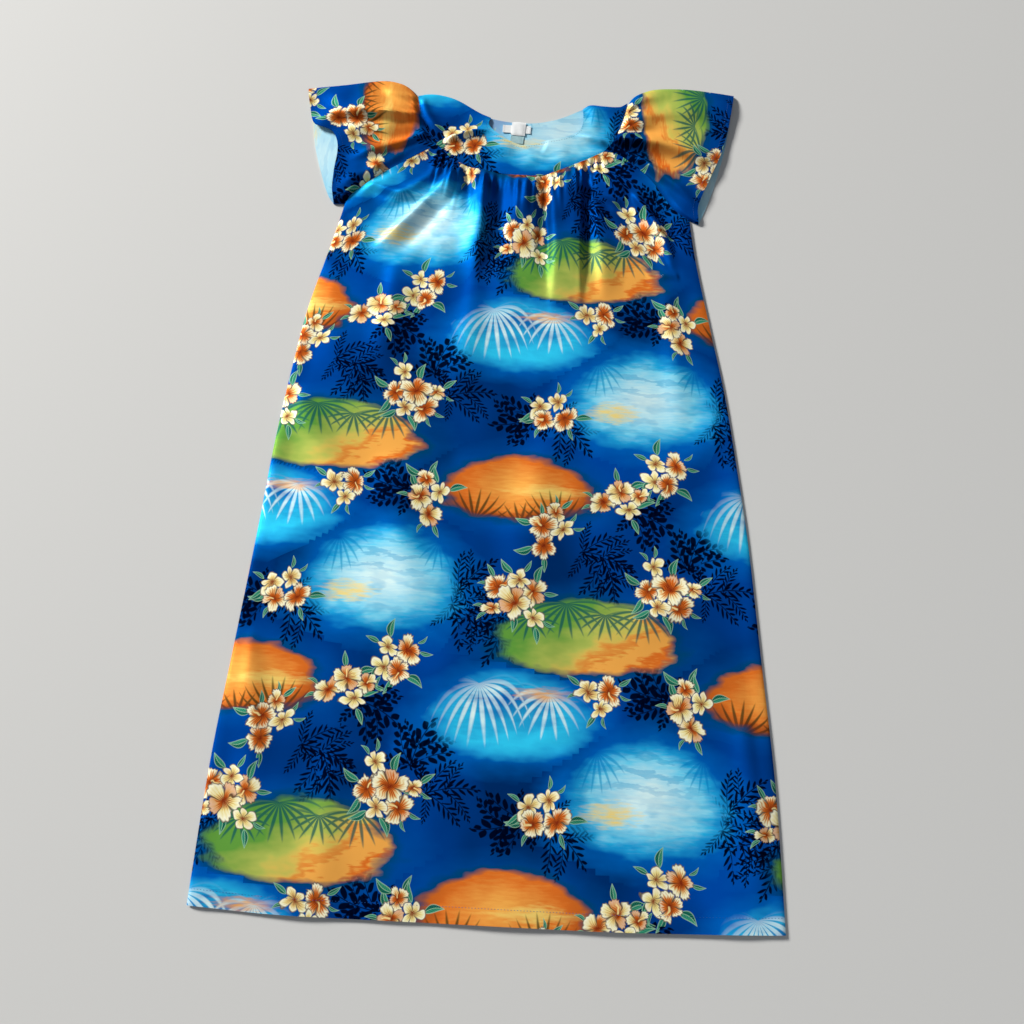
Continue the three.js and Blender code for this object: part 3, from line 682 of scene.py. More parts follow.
def raise_threads(tree, shader, height, strength, depth):
    bump = tree.nodes.new("ShaderNodeBump")
    bump.inputs["Strength"].default_value = strength
    bump.inputs["Distance"].default_value = depth
    tree.links.new(height.socket, bump.inputs["Height"])
    tree.links.new(bump.outputs[0], shader.inputs["Normal"])


def cloth(name, paling=0.0, pale=None):
    """Printed poly-cotton. The reverse is the same print, paled by the cloth's own white."""
    material, tree, shader = new_finish(name)
    # The blue ground turns lighter and darker in broad soft random patches, and a little rougher where it is
    # lighter.
    ground_patches = mottle(tree, 5.5, (1, 0.6, 1), 2)
    colour = stained(((ground_patches - 0.36) * 3.2).held(), GROUND_DEEP, GROUND_BRIGHT)
    wander = mottle(tree, 60, (1, 1, 1), 1) - 0.5
    colour, clear = print_pool(tree, colour, wander)
    for layer in range(FROND_LAYERS):
        colour = print_frond(tree, colour, layer, clear)
    for layer in range(LEAF_LAYERS):
        colour = print_leaf(tree, colour, layer)
    for layer in range(FLOWER_LAYERS):
        colour = print_flower(tree, colour, layer, wander)
    if paling:
        fuzz = mottle(tree, 90, (1, 1, 1), 2) * 0.1 + paling
        colour = stained(fuzz, colour, pale)
    tree.links.new(colour, shader.inputs["Base Color"])
    tree.links.new((ground_patches * 0.12 + 0.38).socket, shader.inputs["Roughness"])
    shader.inputs["Metallic"].default_value = LUSTRE
    shader.inputs["Specular IOR Level"].default_value = 0.0
    shader.inputs["Specular Tint"].default_value = LUSTRE_EDGE
    raise_threads(tree, shader, weave(tree), WEAVE_STRENGTH, WEAVE_DEPTH)
    return material


PRINTED_SIDE = cloth("printed poly-cotton")
REVERSE_SIDE = cloth("reverse of the cloth", 0.42, (0.50, 0.74, 0.86))
SMOOTH_ANGLE = math.radians(50)


def sewn_piece(name, mesh):
    """A piece of the dress from its mesh, alone selected."""
    piece = shown(name, mesh)
    bpy.ops.object.select_all(action="DESELECT")
    piece.select_set(True)
    bpy.context.view_layer.objects.active = piece
    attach(piece, "root")
    return piece


def layer_of_cloth(name, outside, inside, across, up, materials, tube=False):
    """Cloth between two grids of points: its outside and its inside, joined along their edges."""
    rows, columns = across.shape
    number = np.arange(rows * columns).reshape(rows, columns)
    wrapped = np.concatenate([number, number[:, :1]], axis=1) if tube else number
    a, b = wrapped[:-1, :-1], wrapped[1:, :-1]
    c, d = wrapped[1:, 1:], wrapped[:-1, 1:]
    outer = np.stack([a, b, c, d], axis=-1).reshape(-1, 4)
    inner = outer[:, ::-1] + rows * columns
    border = [wrapped[0][::-1], wrapped[-1]]
    if not tube:
        border += [number[:, 0], number[:, -1][::-1]]
    rims = []
    for run in border:
        under = run + rows * columns
        rims.append(np.stack([run[1:], run[:-1], under[:-1], under[1:]], axis=-1))
    faces = np.concatenate([outer, inner, *rims])
    mesh = bpy.data.meshes.new(name)
    points = np.concatenate([outside.reshape(-1, 3), inside.reshape(-1, 3)])
    mesh.from_pydata(points.tolist(), [], faces.tolist())
    slots = np.zeros(len(faces), np.int32)
    slots[len(outer):len(outer) + len(inner)] = 1
    mesh.polygons.foreach_set("material_index", slots)
    for material in materials:
        mesh.materials.append(material)
    corner_across = np.tile(across.ravel(), 2)[faces]
    corner_up = np.tile(up.ravel(), 2)[faces]
    places = mesh.uv_layers.new(name="cloth")
    places.data.foreach_set("uv", np.stack([corner_across, corner_up], axis=-1).astype(np.float32).ravel())
    piece = sewn_piece(name, mesh)
    bpy.ops.object.shade_smooth_by_angle(angle=SMOOTH_ANGLE)
    return piece, corner_across, corner_up


def sew(name, outside, inside, across, up, tube=False):
    """A printed piece of the dress."""
    sides = (PRINTED_SIDE, REVERSE_SIDE)
    piece, corner_across, corner_up = layer_of_cloth(name, outside, inside, across, up, sides, tube)
    lay_print(piece.data, corner_across, corner_up)
    return piece


def with_height(flat, z):
    return np.concatenate([flat, np.broadcast_to(z, flat.shape[:-1])[..., None]], axis=-1)


def apart(run, distance):
    """A run of points moved to the left of its own direction."""
    steps = np.diff(run, axis=0)
    steps /= np.hypot(*steps.T)[:, None]
    arriving = np.concatenate([steps[:1], steps])
    leaving = np.concatenate([steps, steps[-1:]])
    sideways = arriving + leaving
    sideways = np.stack([-sideways[:, 1], sideways[:, 0]], axis=-1)
    sideways /= np.hypot(*sideways.T)[:, None]
    corner = np.sum(sideways * np.stack([-arriving[:, 1], arriving[:, 0]], axis=-1), axis=-1)
    return run + sideways * (distance / np.maximum(corner, 0.25))[:, None]


left_arm = stations(LEFT_ARMHOLE, ARMHOLE_STEPS)
right_arm = stations(RIGHT_ARMHOLE, ARMHOLE_STEPS)


def cut_shares(station, columns, seam_steps):
    """Where each column of a panel's points lies on its hem, from 0 at the left to 1 at the right."""
    first = ARMHOLE_SHARE * station / ARMHOLE_STEPS
    last = 1 - ARMHOLE_SHARE * (columns - station) / ARMHOLE_STEPS
    middle = ARMHOLE_SHARE + (1 - 2 * ARMHOLE_SHARE) * (station - ARMHOLE_STEPS) / seam_steps
    before = station < ARMHOLE_STEPS
    after = station > columns - ARMHOLE_STEPS
    return np.where(before, first, np.where(after, last, middle))


def panel_grid(seam_points, seam_steps, down, lift):
    """A panel's points laid flat, in rows from its gathered top to the hem, and their places on the cut."""
    top = joined(left_arm[::-1], stations(seam_points, seam_steps), right_arm)
    top = apart(top, -SEAM_PARTING)
    columns = len(top) - 1
    station = np.arange(columns + 1)
    share = cut_shares(station, columns, seam_steps)
    hem_y = line(HEM)(share)[:, 1] + lift
    gathered = (station >= ARMHOLE_STEPS) & (station < columns - ARMHOLE_STEPS)
    cloth_steps = np.diff(top[:, 0]) * np.where(gathered[:-1], FULLNESS, 1.0)
    cut_top = np.concatenate([[0.0], np.cumsum(cloth_steps)])
    cut_top -= cut_top[-1] / 2
    down = down[:, None]
    y = mix(top[:, 1], hem_y, down / PANEL_LENGTH)
    wide = right_side(y) - left_side(y)
    top_wide = right_side(top[:, 1]) - left_side(top[:, 1])
    start = (top[:, 0] - left_side(top[:, 1])) / top_wide
    fanned = ease(down / FAN_LENGTH)
    x = left_side(y) + wide * mix(start, share, fanned)
    across = mix(cut_top, (share - 0.5) * wide, fanned)
    return np.stack([x, y], axis=-1), across, y


def back_panel():
    down = np.linspace(0, PANEL_LENGTH, BACK_ROWS + 1)
    flat, across, up = panel_grid(BACK_YOKE_SEAM, BACK_SEAM_STEPS, down, BACK_HEM_STEP)
    outside = with_height(flat, 0.0)[:, ::-1]
    inside = with_height(flat, WALL)[:, ::-1]
    return sew("back_panel_cloth", outside, inside, across[:, ::-1] + BACK_PANEL_PRINT, up[:, ::-1])


back_panel_cloth = back_panel()
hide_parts("back_panel")

# Back yoke
# A shallow crescent of the same cloth that closes the back of the neck. Its paler reverse shows inside
# the neck opening, where it ripples a little under the label.
YOKE_LEFT_END = (
    (-0.191, 0.649), (-0.182, 0.61), (-0.168, 0.579), (-0.15, 0.556),
)
YOKE_RIGHT_END = (
    (0.138, 0.556), (0.154, 0.578), (0.168, 0.614), (0.177, 0.65),
)
LEFT_SHOULDER = (
    (-0.191, 0.656), (-0.177, 0.661), (-0.154, 0.661), (-0.123, 0.652), (-0.081, 0.627),
    (-0.061, 0.618),
)
RIGHT_SHOULDER = (
    (0.1, 0.644), (0.112, 0.652), (0.137, 0.651), (0.164, 0.651), (0.177, 0.657),
)
BACK_NECK = (
    (-0.061, 0.618), (-0.045, 0.614), (-0.018, 0.611), (0.008, 0.611), (0.034, 0.615), (0.06, 0.623),
    (0.1, 0.644),
)
END_STEPS = 34
YOKE_ROWS = 26
BACK_YOKE_PRINT = (0.034, -0.049)  # where the yoke is cut from the repeat
RIPPLE = 0.0007

left_end = stations(YOKE_LEFT_END, END_STEPS)
right_end = stations(YOKE_RIGHT_END, END_STEPS)


def crescent(seam, neck):
    """Flat places of a yoke's points, in rows from its seams to its neck edge."""
    steps = len(seam) - 1
    outer = joined(left_end, seam, right_end)
    left_shoulder = stations(LEFT_SHOULDER, END_STEPS)
    inner = joined(left_shoulder, stations(neck, steps), stations(RIGHT_SHOULDER, END_STEPS))
    outer = apart(outer, SEAM_PARTING)
    share = np.linspace(0, 1, YOKE_ROWS + 1)[:, None, None]
    return mix(outer, inner, share)


def back_yoke():
    flat = crescent(stations(BACK_YOKE_SEAM, BACK_SEAM_STEPS), BACK_NECK)
    x, y = flat[..., 0], flat[..., 1]
    ripple = np.sin(95 * x + 30 * y) * np.sin(70 * y - 25 * x + 1)
    inside = with_height(flat, WALL + RIPPLE * (ripple - 1) * 0.4)
    across, up = x + BACK_YOKE_PRINT[0], y + BACK_YOKE_PRINT[1]
    return sew("back_yoke_cloth", with_height(flat, 0.0), inside, across, up)


back_yoke_cloth = back_yoke()
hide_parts("back_yoke")

# Neck label
# A woven satin label inside the back of the neck, left blank: a narrow band, sewn down by hand at both
# ends, with a square of satin puffed up over its middle. It lies on the back yoke.
LabelLayer = namedtuple("LabelLayer", "place size turn lift puff")
BAND = LabelLayer((-0.0150, 0.5968), (0.049, 0.0155), -0.02, 0.0017, 0.0001)
SQUARE = LabelLayer((-0.0118, 0.5974), (0.0245, 0.0275), -0.05, 0.0023, 0.0012)
LABEL_WALL = 0.0005
LABEL_RIPPLE = 0.00012
LABEL_TURNED_END = 0.0003
LABEL_STEPS = 26
SATIN_WHITE = (0.86, 0.87, 0.86)
SATIN_SHADE = (0.62, 0.66, 0.70)
SATIN_THREADS = 2400  # to the metre
STITCH_LENGTH = 0.0030
STITCH_STEP = 0.0045
STITCH_WIDTH = 0.0006
STITCH_RISE = 0.00035
LABEL_STITCHING = 0.0022  # in from the band's end
LABEL_STITCH_LIFT = 0.0004


def satin(name, white, shade):
    """Woven satin, with fine ribs along its width and a soft lustre."""
    material, tree, shader = new_finish(name)
    across, up, _ = parts(tree, on_cloth(tree))
    rib = (up * (SATIN_THREADS * TAU) + (across * 900).sine()).sine() * 0.5 + 0.5
    worn = mottle(tree, 140, (1, 1, 1), 3)
    tree.links.new(stained((rib * 0.25 + worn * 0.5).held(), white, shade), shader.inputs["Base Color"])
    tree.links.new((worn * 0.2 + 0.35).socket, shader.inputs["Roughness"])
    raise_threads(tree, shader, rib, 0.4, 0.0001)
    return material


def label_layer(name, layer, material):
    """A rectangle of woven label that puffs up in its middle and turns under at its left and right ends."""
    share = np.linspace(-1, 1, LABEL_STEPS + 1)
    u, v = np.meshgrid(share, share[::-1])
    bulge = (1 - u**4) * (1 - v**6)
    ripple = np.sin(5 * u + 2 * v) * LABEL_RIPPLE
    x = u * layer.size[0] / 2
    y = v * layer.size[1] / 2 * (1 - 0.03 * u * u)
    cos, sin = math.cos(layer.turn), math.sin(layer.turn)
    flat = np.stack([layer.place[0] + x * cos - y * sin, layer.place[1] + x * sin + y * cos], axis=-1)
    ends = LABEL_TURNED_END * ease((np.abs(u) - 0.84) / 0.08)
    top = layer.lift + LABEL_WALL + layer.puff * bulge + ripple + ends
    outside = with_height(flat, top)[:, ::-1]
    inside = with_height(flat, top - LABEL_WALL - ends)[:, ::-1]
    return layer_of_cloth(name, outside, inside, x[:, ::-1], y[:, ::-1], (material, material))[0]


def stitches(name, runs, thread):
    """Rows of lockstitch. Each stitch is a slim spindle of thread that sinks into the cloth at both ends."""
    points = []
    faces = []
    up = np.array([0.0, 0.0, STITCH_RISE])
    for run in runs:
        lengths = np.linalg.norm(np.diff(run, axis=0), axis=-1)
        along = np.concatenate([[0.0], np.cumsum(lengths)])
        for start in np.arange(STITCH_STEP / 2, along[-1] - STITCH_LENGTH, STITCH_STEP):
            ends = (start, start + STITCH_LENGTH)
            a, b = [np.array([np.interp(s, along, column) for column in run.T]) for s in ends]
            side = np.array([a[1] - b[1], b[0] - a[0], 0.0])
            side *= STITCH_WIDTH / 2 / np.linalg.norm(side)
            first = len(points)
            points.append(a - up)
            for share in (0.3, 0.7):
                middle = mix(a, b, share)
                points += [middle + side, middle + up, middle - side, middle - up]
            points.append(b - up)
            for i in range(4):
                j = (i + 1) % 4
                faces.append((first, first + 1 + i, first + 1 + j))
                faces.append((first + 1 + i, first + 5 + i, first + 5 + j, first + 1 + j))
                faces.append((first + 9, first + 5 + j, first + 5 + i))
    mesh = bpy.data.meshes.new(name)
    mesh.from_pydata([tuple(p) for p in points], [], faces)
    mesh.materials.append(thread)
    row = sewn_piece(name, mesh)
    bpy.ops.object.mode_set(mode="EDIT")
    bpy.ops.mesh.select_all(action="SELECT")
    bpy.ops.mesh.normals_make_consistent(inside=False)
    bpy.ops.object.mode_set(mode="OBJECT")
    bpy.ops.object.shade_smooth_by_angle(angle=SMOOTH_ANGLE)
    return row


def sewing_thread(name, light, dark):
    """Two-ply spun thread, a little darker in its twist."""
    material, tree, shader = new_finish(name)
    place = tree.nodes.new("ShaderNodeTexCoord")
    twist = tree.nodes.new("ShaderNodeTexNoise")
    twist.inputs["Scale"].default_value = 1800
    tree.links.new(place.outputs["Object"], twist.inputs["Vector"])
    tree.links.new(stained(Ink(tree, twist.outputs[0]), light, dark), shader.inputs["Base Color"])
    shader.inputs["Roughness"].default_value = 0.55
    return material


WHITE_THREAD = sewing_thread("white thread", (0.85, 0.86, 0.88), (0.55, 0.58, 0.62))
BLUE_THREAD = sewing_thread("royal blue thread", (0.01, 0.09, 0.42), (0.0, 0.03, 0.16))


def end_row(band, side):
    """The line of a row of stitches down one end of a label."""
    u = side * (band.size[0] / 2 - LABEL_STITCHING)
    v = np.linspace(-band.size[1] / 2, band.size[1] / 2, 5)
    x = band.place[0] + u * math.cos(band.turn) - v * math.sin(band.turn)
    y = band.place[1] + u * math.sin(band.turn) + v * math.cos(band.turn)
    return np.stack([x, y, np.full_like(x, band.lift + LABEL_WALL + LABEL_STITCH_LIFT)], axis=-1)


def woven_label(name, layers, material):
    """One label from its layers, lowest first."""
    woven = [label_layer(f"{name}_{i}", layer, material) for i, layer in enumerate(layers)]
    if len(woven) > 1:
        for piece in woven:
            piece.select_set(True)
        bpy.context.view_layer.objects.active = woven[0]
        bpy.ops.object.join()
    woven[0].name = name
    return woven[0]


neck_label_cloth = woven_label(
    "neck_label_cloth", (BAND, SQUARE), satin("white woven satin", SATIN_WHITE, SATIN_SHADE)
)
label_stitches = stitches("label_stitches", [end_row(BAND, -1), end_row(BAND, 1)], WHITE_THREAD)
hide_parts("neck_label")

# Size tab
# A small woven tab of grey-green tape below the label, blank, turned under at its left and right ends.
TAB = LabelLayer((-0.0135, 0.5757), (0.0225, 0.0150), -0.08, 0.0014, 0.0003)
TAB_COLOUR = (0.42, 0.60, 0.63)
TAB_SHADE = (0.13, 0.30, 0.34)

size_tab_cloth = woven_label("size_tab_cloth", (TAB,), satin("grey-green woven tape", TAB_COLOUR, TAB_SHADE))
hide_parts("size_tab")

# Front panel
# The upper layer of the skirt, gathered by hand into the yoke with 22 small gathers. They spread into
# soft folds, and the cloth below lies nearly flat over the back panel, with broad low waves.
FRONT_YOKE_SEAM = (
    (-0.15, 0.556), (-0.124, 0.53), (-0.092, 0.514), (-0.066, 0.509), (-0.031, 0.503), (0.031, 0.503),
    (0.065, 0.516), (0.104, 0.536), (0.138, 0.556),
)
BODY_PUFF = 0.0026  # how high the cloth stands, away from its edges
BODY_ROLL = 0.016  # distance over which it rises from a side seam
SEAM_PUFF = 0.0034  # how high the yoke's seam stands
ARMPIT_SHARE = 0.4  # of the armhole, over which its seam sinks to the armpit
SEAM_BLEND = 0.020
SEAM_SHARE = 0.15
GATHER_HEIGHT = 0.0030
GATHER_LENGTH = 0.125
GATHER_RISE = 0.012
GATHER_SEWN = 0.45  # of a gather's height, at the seam itself
CRUMPLE_LENGTH = 0.30
# Waves in the cloth: size, height
BROAD_WAVES = (0.11, 0.0034)
FINE_WAVES = (0.045, 0.0008)
CRUMPLED_WAVES = (0.030, 0.0030)
FOLD_LEAD = 0.2
FOLD_FADE = 0.45
FRONT_PANEL_PRINT = (-0.123, -0.167)
HEM_FOLD = 0.022  # depth of the turned hem
HEM_GROOVE = 0.0004
GROOVE_WIDTH = 0.0012

# A fold runs from one place to another, bows sideways, and has a height and half widths at its two ends.
# Its lean makes one side steeper, and a high edge number makes it flat on top with crisp sides.
Fold = namedtuple("Fold", "from_x from_y to_x to_y bow height width end_width lean edge", defaults=(0.0, 2))
BODY_FOLDS = (
    (-0.01, 0.48, -0.01, 0.33, 0, 0.0045, 0.18, 0.16),
    (0.11, 0.498, 0.114, 0.29, 0, -0.0065, 0.007, 0.011),
    (0.114, 0.48, 0.182, 0.434, -0.007, -0.006, 0.009, 0.01),
    (0.176, 0.44, 0.236, 0.318, 0.008, -0.0055, 0.01, 0.013),
    (-0.112, 0.462, -0.222, 0.324, 0.004, -0.0042, 0.01, 0.016),
    (0.072, 0.506, 0.082, 0.22, 0, 0.0095, 0.028, 0.026, 0, 6),
    (0.101, 0.51, 0.105, 0.22, 0, 0.0038, 0.004, 0.005),
    (0.034, 0.5, 0.044, 0.29, 0.002, -0.0075, 0.008, 0.013),
    (0, 0.496, 0.004, 0.41, 0.002, 0.011, 0.017, 0.022),
    (-0.04, 0.5, -0.038, 0.31, 0.003, -0.0075, 0.01, 0.016),
    (-0.067, 0.508, -0.073, 0.28, 0.003, 0.011, 0.013, 0.02, -0.45, 2),
    (-0.096, 0.508, -0.08, 0.4, -0.003, -0.0065, 0.009, 0.013),
    (-0.114, 0.52, -0.142, 0.41, 0.004, 0.009, 0.012, 0.019),
    (-0.128, 0.488, -0.258, 0.334, 0.004, 0.0092, 0.008, 0.013, 0.45, 2),
    (-0.262, 0.474, -0.15, 0.452, -0.008, 0.0078, 0.009, 0.008),
    (-0.15, 0.505, -0.235, 0.43, 0.004, 0.005, 0.008, 0.009),
    (0.11, 0.522, 0.196, 0.463, -0.003, 0.008, 0.005, 0.007, 0.3, 2),
    (0.096, 0.494, 0.186, 0.452, -0.007, 0.0062, 0.005, 0.007, -0.3, 2),
    (0.196, 0.456, 0.262, 0.318, 0.008, 0.0098, 0.007, 0.009, 0.4, 2),
    (0.262, 0.32, 0.226, 0.314, -0.003, 0.004, 0.005, 0.006),
    (0.128, 0.44, 0.146, 0.25, 0.003, 0.0062, 0.011, 0.018, 0.3, 2),
    (0.176, 0.43, 0.206, 0.25, 0.004, -0.0035, 0.012, 0.02),
    (-0.205, 0.3, -0.236, 0.09, 0.008, 0.004, 0.016, 0.03),
    (-0.07, 0.33, -0.092, 0.06, 0.006, 0.004, 0.014, 0.03),
    (-0.16, 0.33, -0.18, 0.12, 0.006, -0.003, 0.018, 0.03),
    (0.25, 0.26, 0.268, -0.01, 0.005, 0.004, 0.014, 0.03),
    (0.32, 0.04, 0.15, -0.11, 0.014, 0.0045, 0.026, 0.034),
    (-0.33, 0.06, -0.21, -0.11, -0.01, 0.004, 0.022, 0.034),
    (-0.18, -0.06, -0.12, -0.33, 0.01, 0.0045, 0.03, 0.04),
    (0.06, 0.02, 0.04, -0.26, -0.008, 0.004, 0.03, 0.044),
    (-0.37, -0.33, -0.345, -0.6, 0.008, 0.004, 0.016, 0.026),
    (0.33, -0.205, 0.18, -0.3, -0.01, 0.0055, 0.026, 0.036),
    (-0.13, -0.47, -0.05, -0.57, 0.006, 0.005, 0.026, 0.034),
    (0.11, -0.48, 0.12, -0.7, -0.006, 0.0035, 0.024, 0.036),
    (0.36, -0.42, 0.372, -0.7, 0.004, 0.004, 0.014, 0.022),
    (-0.23, -0.5, -0.236, -0.7, 0.004, 0.0035, 0.02, 0.03),
)


def roll(distance, reach):
    """The rise of cloth that rolls up from an edge, from 0 at the edge to 1 at the reach."""
    return np.sqrt(1 - (1 - np.clip(distance / reach, 0, 1)) ** 2)


def fold_height(folds, x, y):
    height = np.zeros_like(x)
    for row in folds:
        fold = Fold(*row)
        dx = fold.to_x - fold.from_x
        dy = fold.to_y - fold.from_y
        length = math.hypot(dx, dy)
        along = ((x - fold.from_x) * dx + (y - fold.from_y) * dy) / length**2
        held = np.clip(along, 0, 1)
        across = ((y - fold.from_y) * dx - (x - fold.from_x) * dy) / length
        aside = across - fold.bow * 4 * held * (1 - held)
        width = mix(fold.width, fold.end_width, held)
        width = width * (1 + fold.lean * np.sign(aside))
        fade = ease((along + FOLD_LEAD) / FOLD_LEAD) * ease((1 - along) / FOLD_FADE)
        height += fold.height * fade * np.exp(-(np.abs(aside / width) ** fold.edge))
    return height


def waviness(x, y, size, height):
    """Low uneven waves, as in cloth that was folded away and then laid out."""
    places = np.stack([x.ravel() / size, y.ravel() / size], axis=-1)
    waves = [noise.noise(Vector((a, b, size * 10))) for a, b in places]
    return np.reshape(waves, x.shape) * height


def seam_top(share):
    """Height of the yoke's seam, and of the armhole's by its share of the way to the armpit."""
    return TOP + SEAM_PUFF * roll(1 - share, ARMPIT_SHARE)


def pushed_in(outside):
    """The inside of a layer of cloth, a wall's thickness in from its outside."""
    down_rows = np.gradient(outside, axis=0)
    along_rows = np.gradient(outside, axis=1)
    normal = np.cross(down_rows, along_rows)
    normal /= np.linalg.norm(normal, axis=-1, keepdims=True)
    inside = outside - normal * WALL
    inside[..., 2] = np.maximum(inside[..., 2], SEAT)
    return inside


def front_panel():
    even = np.linspace(0, 1, PANEL_ROWS + 1)
    down = PANEL_LENGTH * (0.48 * even + 0.52 * even**2)
    flat, across, up = panel_grid(FRONT_YOKE_SEAM, SEAM_STEPS, down, 0.0)
    x, y = flat[..., 0], flat[..., 1]
    columns = x.shape[1] - 1
    station = np.arange(columns + 1)
    distance = down[:, None]
    inside_edge = np.minimum(x - left_side(y), right_side(y) - x)
    own = TOP + BODY_PUFF * roll(inside_edge, BODY_ROLL)
    creases = fold_height(BODY_FOLDS, x, y) + waviness(x, y, *BROAD_WAVES) + waviness(x, y, *FINE_WAVES)
    creases += waviness(x, y, *CRUMPLED_WAVES) * ease(1 - distance / CRUMPLE_LENGTH)
    own += creases * ease(inside_edge / (2 * BODY_ROLL))
    count = (station - ARMHOLE_STEPS) / (SEAM_STEPS / (2 * GATHERS))
    uneven = 1 + 0.45 * np.sin(0.9 * count) * np.sin(0.37 * count + 1)
    reach = GATHER_LENGTH * (0.62 + 0.38 * np.sin(1.3 * count + 0.6) * np.sin(0.51 * count))
    on_seam = ease(count + 1) * ease(2 * GATHERS + 1 - count)
    rise = mix(GATHER_SEWN, 1, ease(distance / GATHER_RISE)) * ease(1 - distance / reach)
    own += GATHER_HEIGHT * uneven * np.cos(math.pi * count) * on_seam * rise
    from_armpit = np.minimum(station, columns - station)
    arm_share = np.maximum(1 - from_armpit / ARMHOLE_STEPS, 0)
    z = mix(seam_top(arm_share), own, mix(SEAM_SHARE, 1, ease(distance / SEAM_BLEND)))
    from_hem = PANEL_LENGTH - distance
    z -= HEM_GROOVE * np.exp(-(((from_hem - HEM_FOLD) / GROOVE_WIDTH / 3) ** 2))
    outside = with_height(flat, np.maximum(z, TOP))
    across, up = across + FRONT_PANEL_PRINT[0], up + FRONT_PANEL_PRINT[1]
    return sew("front_panel_cloth", outside, pushed_in(outside), across, up), outside


def inset(grid, distance):
    """The line that lies a set distance in from a piece's first row of points."""
    steps = np.linalg.norm(np.diff(grid, axis=0), axis=-1)
    reach = np.concatenate([np.zeros((1, steps.shape[1])), np.cumsum(steps, axis=0)])
    return np.array([
        [np.interp(distance, reach[:, column], grid[:, column, k]) for k in range(3)]
        for column in range(grid.shape[1])
    ])


front_panel_cloth, front_panel_top = front_panel()
hem_stitches = stitches("hem_stitches", [inset(front_panel_top[::-1], HEM_FOLD)], BLUE_THREAD)
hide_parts("front_panel")

# Front yoke
# A crescent round the neck, from shoulder to shoulder, with the gathered panel and the sleeves sewn to
# its outer edge. It stands a little proud of the back yoke and is creased at both corners of the neck.
FRONT_NECK = (
    (-0.061, 0.618), (-0.064, 0.603), (-0.049, 0.586), (-0.026, 0.571), (0, 0.563), (0.035, 0.573),
    (0.084, 0.588), (0.099, 0.606), (0.1, 0.644),
)
YOKE_PUFF = 0.0032
YOKE_ROLL = 0.012
YOKE_WAVES = (0.03, 0.0018)
YOKE_FOLDS = (
    (-0.128, 0.569, -0.06, 0.59, 0.003, 0.0078, 0.007, 0.005),
    (0.158, 0.56, 0.082, 0.588, -0.003, 0.0078, 0.007, 0.005),
    (-0.184, 0.64, -0.14, 0.575, -0.006, 0.006, 0.008, 0.009),
    (-0.03, 0.56, -0.06, 0.52, 0.003, 0.002, 0.014, 0.014),
    (0.04, 0.56, 0.08, 0.545, 0.003, 0.002, 0.012, 0.012),
    (0.118, 0.64, 0.122, 0.59, 0.002, 0.0025, 0.009, 0.012),
)
SHOULDER_BLEND = 7  # stations past the shoulder over which its fold ends
FRONT_YOKE_PRINT = (0.058, -0.058)
SEAM_STITCHING = 0.0028  # in from the seam
NECK_STITCHING = 0.0055  # in from the neck edge


def front_yoke():
    flat = crescent(stations(FRONT_YOKE_SEAM, SEAM_STEPS), FRONT_NECK)
    x, y = flat[..., 0], flat[..., 1]
    columns = x.shape[1] - 1
    station = np.arange(columns + 1)
    share = np.linspace(0, 1, YOKE_ROWS + 1)[:, None]
    height = np.hypot(*(flat[-1] - flat[0]).T)
    from_end = np.minimum(station, columns - station)
    shoulder = 1 - ease((from_end - END_STEPS) / SHOULDER_BLEND)
    to_fold = mix(YOKE_ROLL, np.minimum((1 - share) * height, YOKE_ROLL), shoulder)
    creases = fold_height(YOKE_FOLDS, x, y) + waviness(x, y, *YOKE_WAVES)
    own = TOP + YOKE_PUFF * roll(to_fold, YOKE_ROLL) + creases * ease(to_fold / YOKE_ROLL)
    z = mix(seam_top(0), own, ease(share * height / SEAM_BLEND))
    outside = with_height(flat, np.maximum(z, TOP))[::-1]
    across, up = x[::-1] + FRONT_YOKE_PRINT[0], y[::-1] + FRONT_YOKE_PRINT[1]
    return sew("front_yoke_cloth", outside, pushed_in(outside), across, up), outside


front_yoke_cloth, front_yoke_top = front_yoke()
yoke_stitches = stitches("yoke_stitches", [
    inset(front_yoke_top[::-1], SEAM_STITCHING),
    inset(front_yoke_top[:, END_STEPS:-END_STEPS], NECK_STITCHING),
], BLUE_THREAD)
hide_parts("front_yoke")

# Sleeves
# Two short flutter sleeves, each one piece of cloth gathered to the yoke's end, sewn into the armhole and
# closed by a seam under the arm. They lie pressed flat and open at the hem, where the reverse shows.
# They are cut across the grain, so the print's top points to the right on both.
LEFT_SLEEVE = {
    "cut": (0.52, 0.19),
    "print": (0.140, -0.298),
    "lower_print": (0.628, 0.279),
    "over": (
        (-0.193, 0.656), (-0.204, 0.669), (-0.223, 0.681), (-0.254, 0.686), (-0.324, 0.674),
        (-0.387, 0.663),
    ),
    "under": (
        (-0.303, 0.432), (-0.32, 0.433),
    ),
    "upper_hem": (
        (-0.387, 0.663), (-0.379, 0.622), (-0.368, 0.588), (-0.336, 0.575), (-0.323, 0.545),
        (-0.324, 0.505), (-0.325, 0.465), (-0.32, 0.433),
    ),
    "lower_hem": (
        (-0.387, 0.663), (-0.376, 0.611), (-0.362, 0.54), (-0.346, 0.488), (-0.332, 0.451),
        (-0.32, 0.433),
    ),
}
RIGHT_SLEEVE = {
    "cut": (0.54, 0.18),
    "print": (0.648, -0.106),
    "lower_print": (0.598, 0.202),
    "over": (
        (0.179, 0.657), (0.187, 0.67), (0.2, 0.68), (0.226, 0.69), (0.271, 0.693), (0.306, 0.691),
        (0.365, 0.683),
    ),
    "under": (
        (0.288, 0.426), (0.301, 0.422),
    ),
    "upper_hem": (
        (0.365, 0.683), (0.353, 0.61), (0.339, 0.556), (0.317, 0.5), (0.3, 0.453), (0.301, 0.422),
    ),
    "lower_hem": (
        (0.365, 0.683), (0.354, 0.605), (0.343, 0.552), (0.327, 0.492), (0.311, 0.446), (0.301, 0.422),
    ),
}
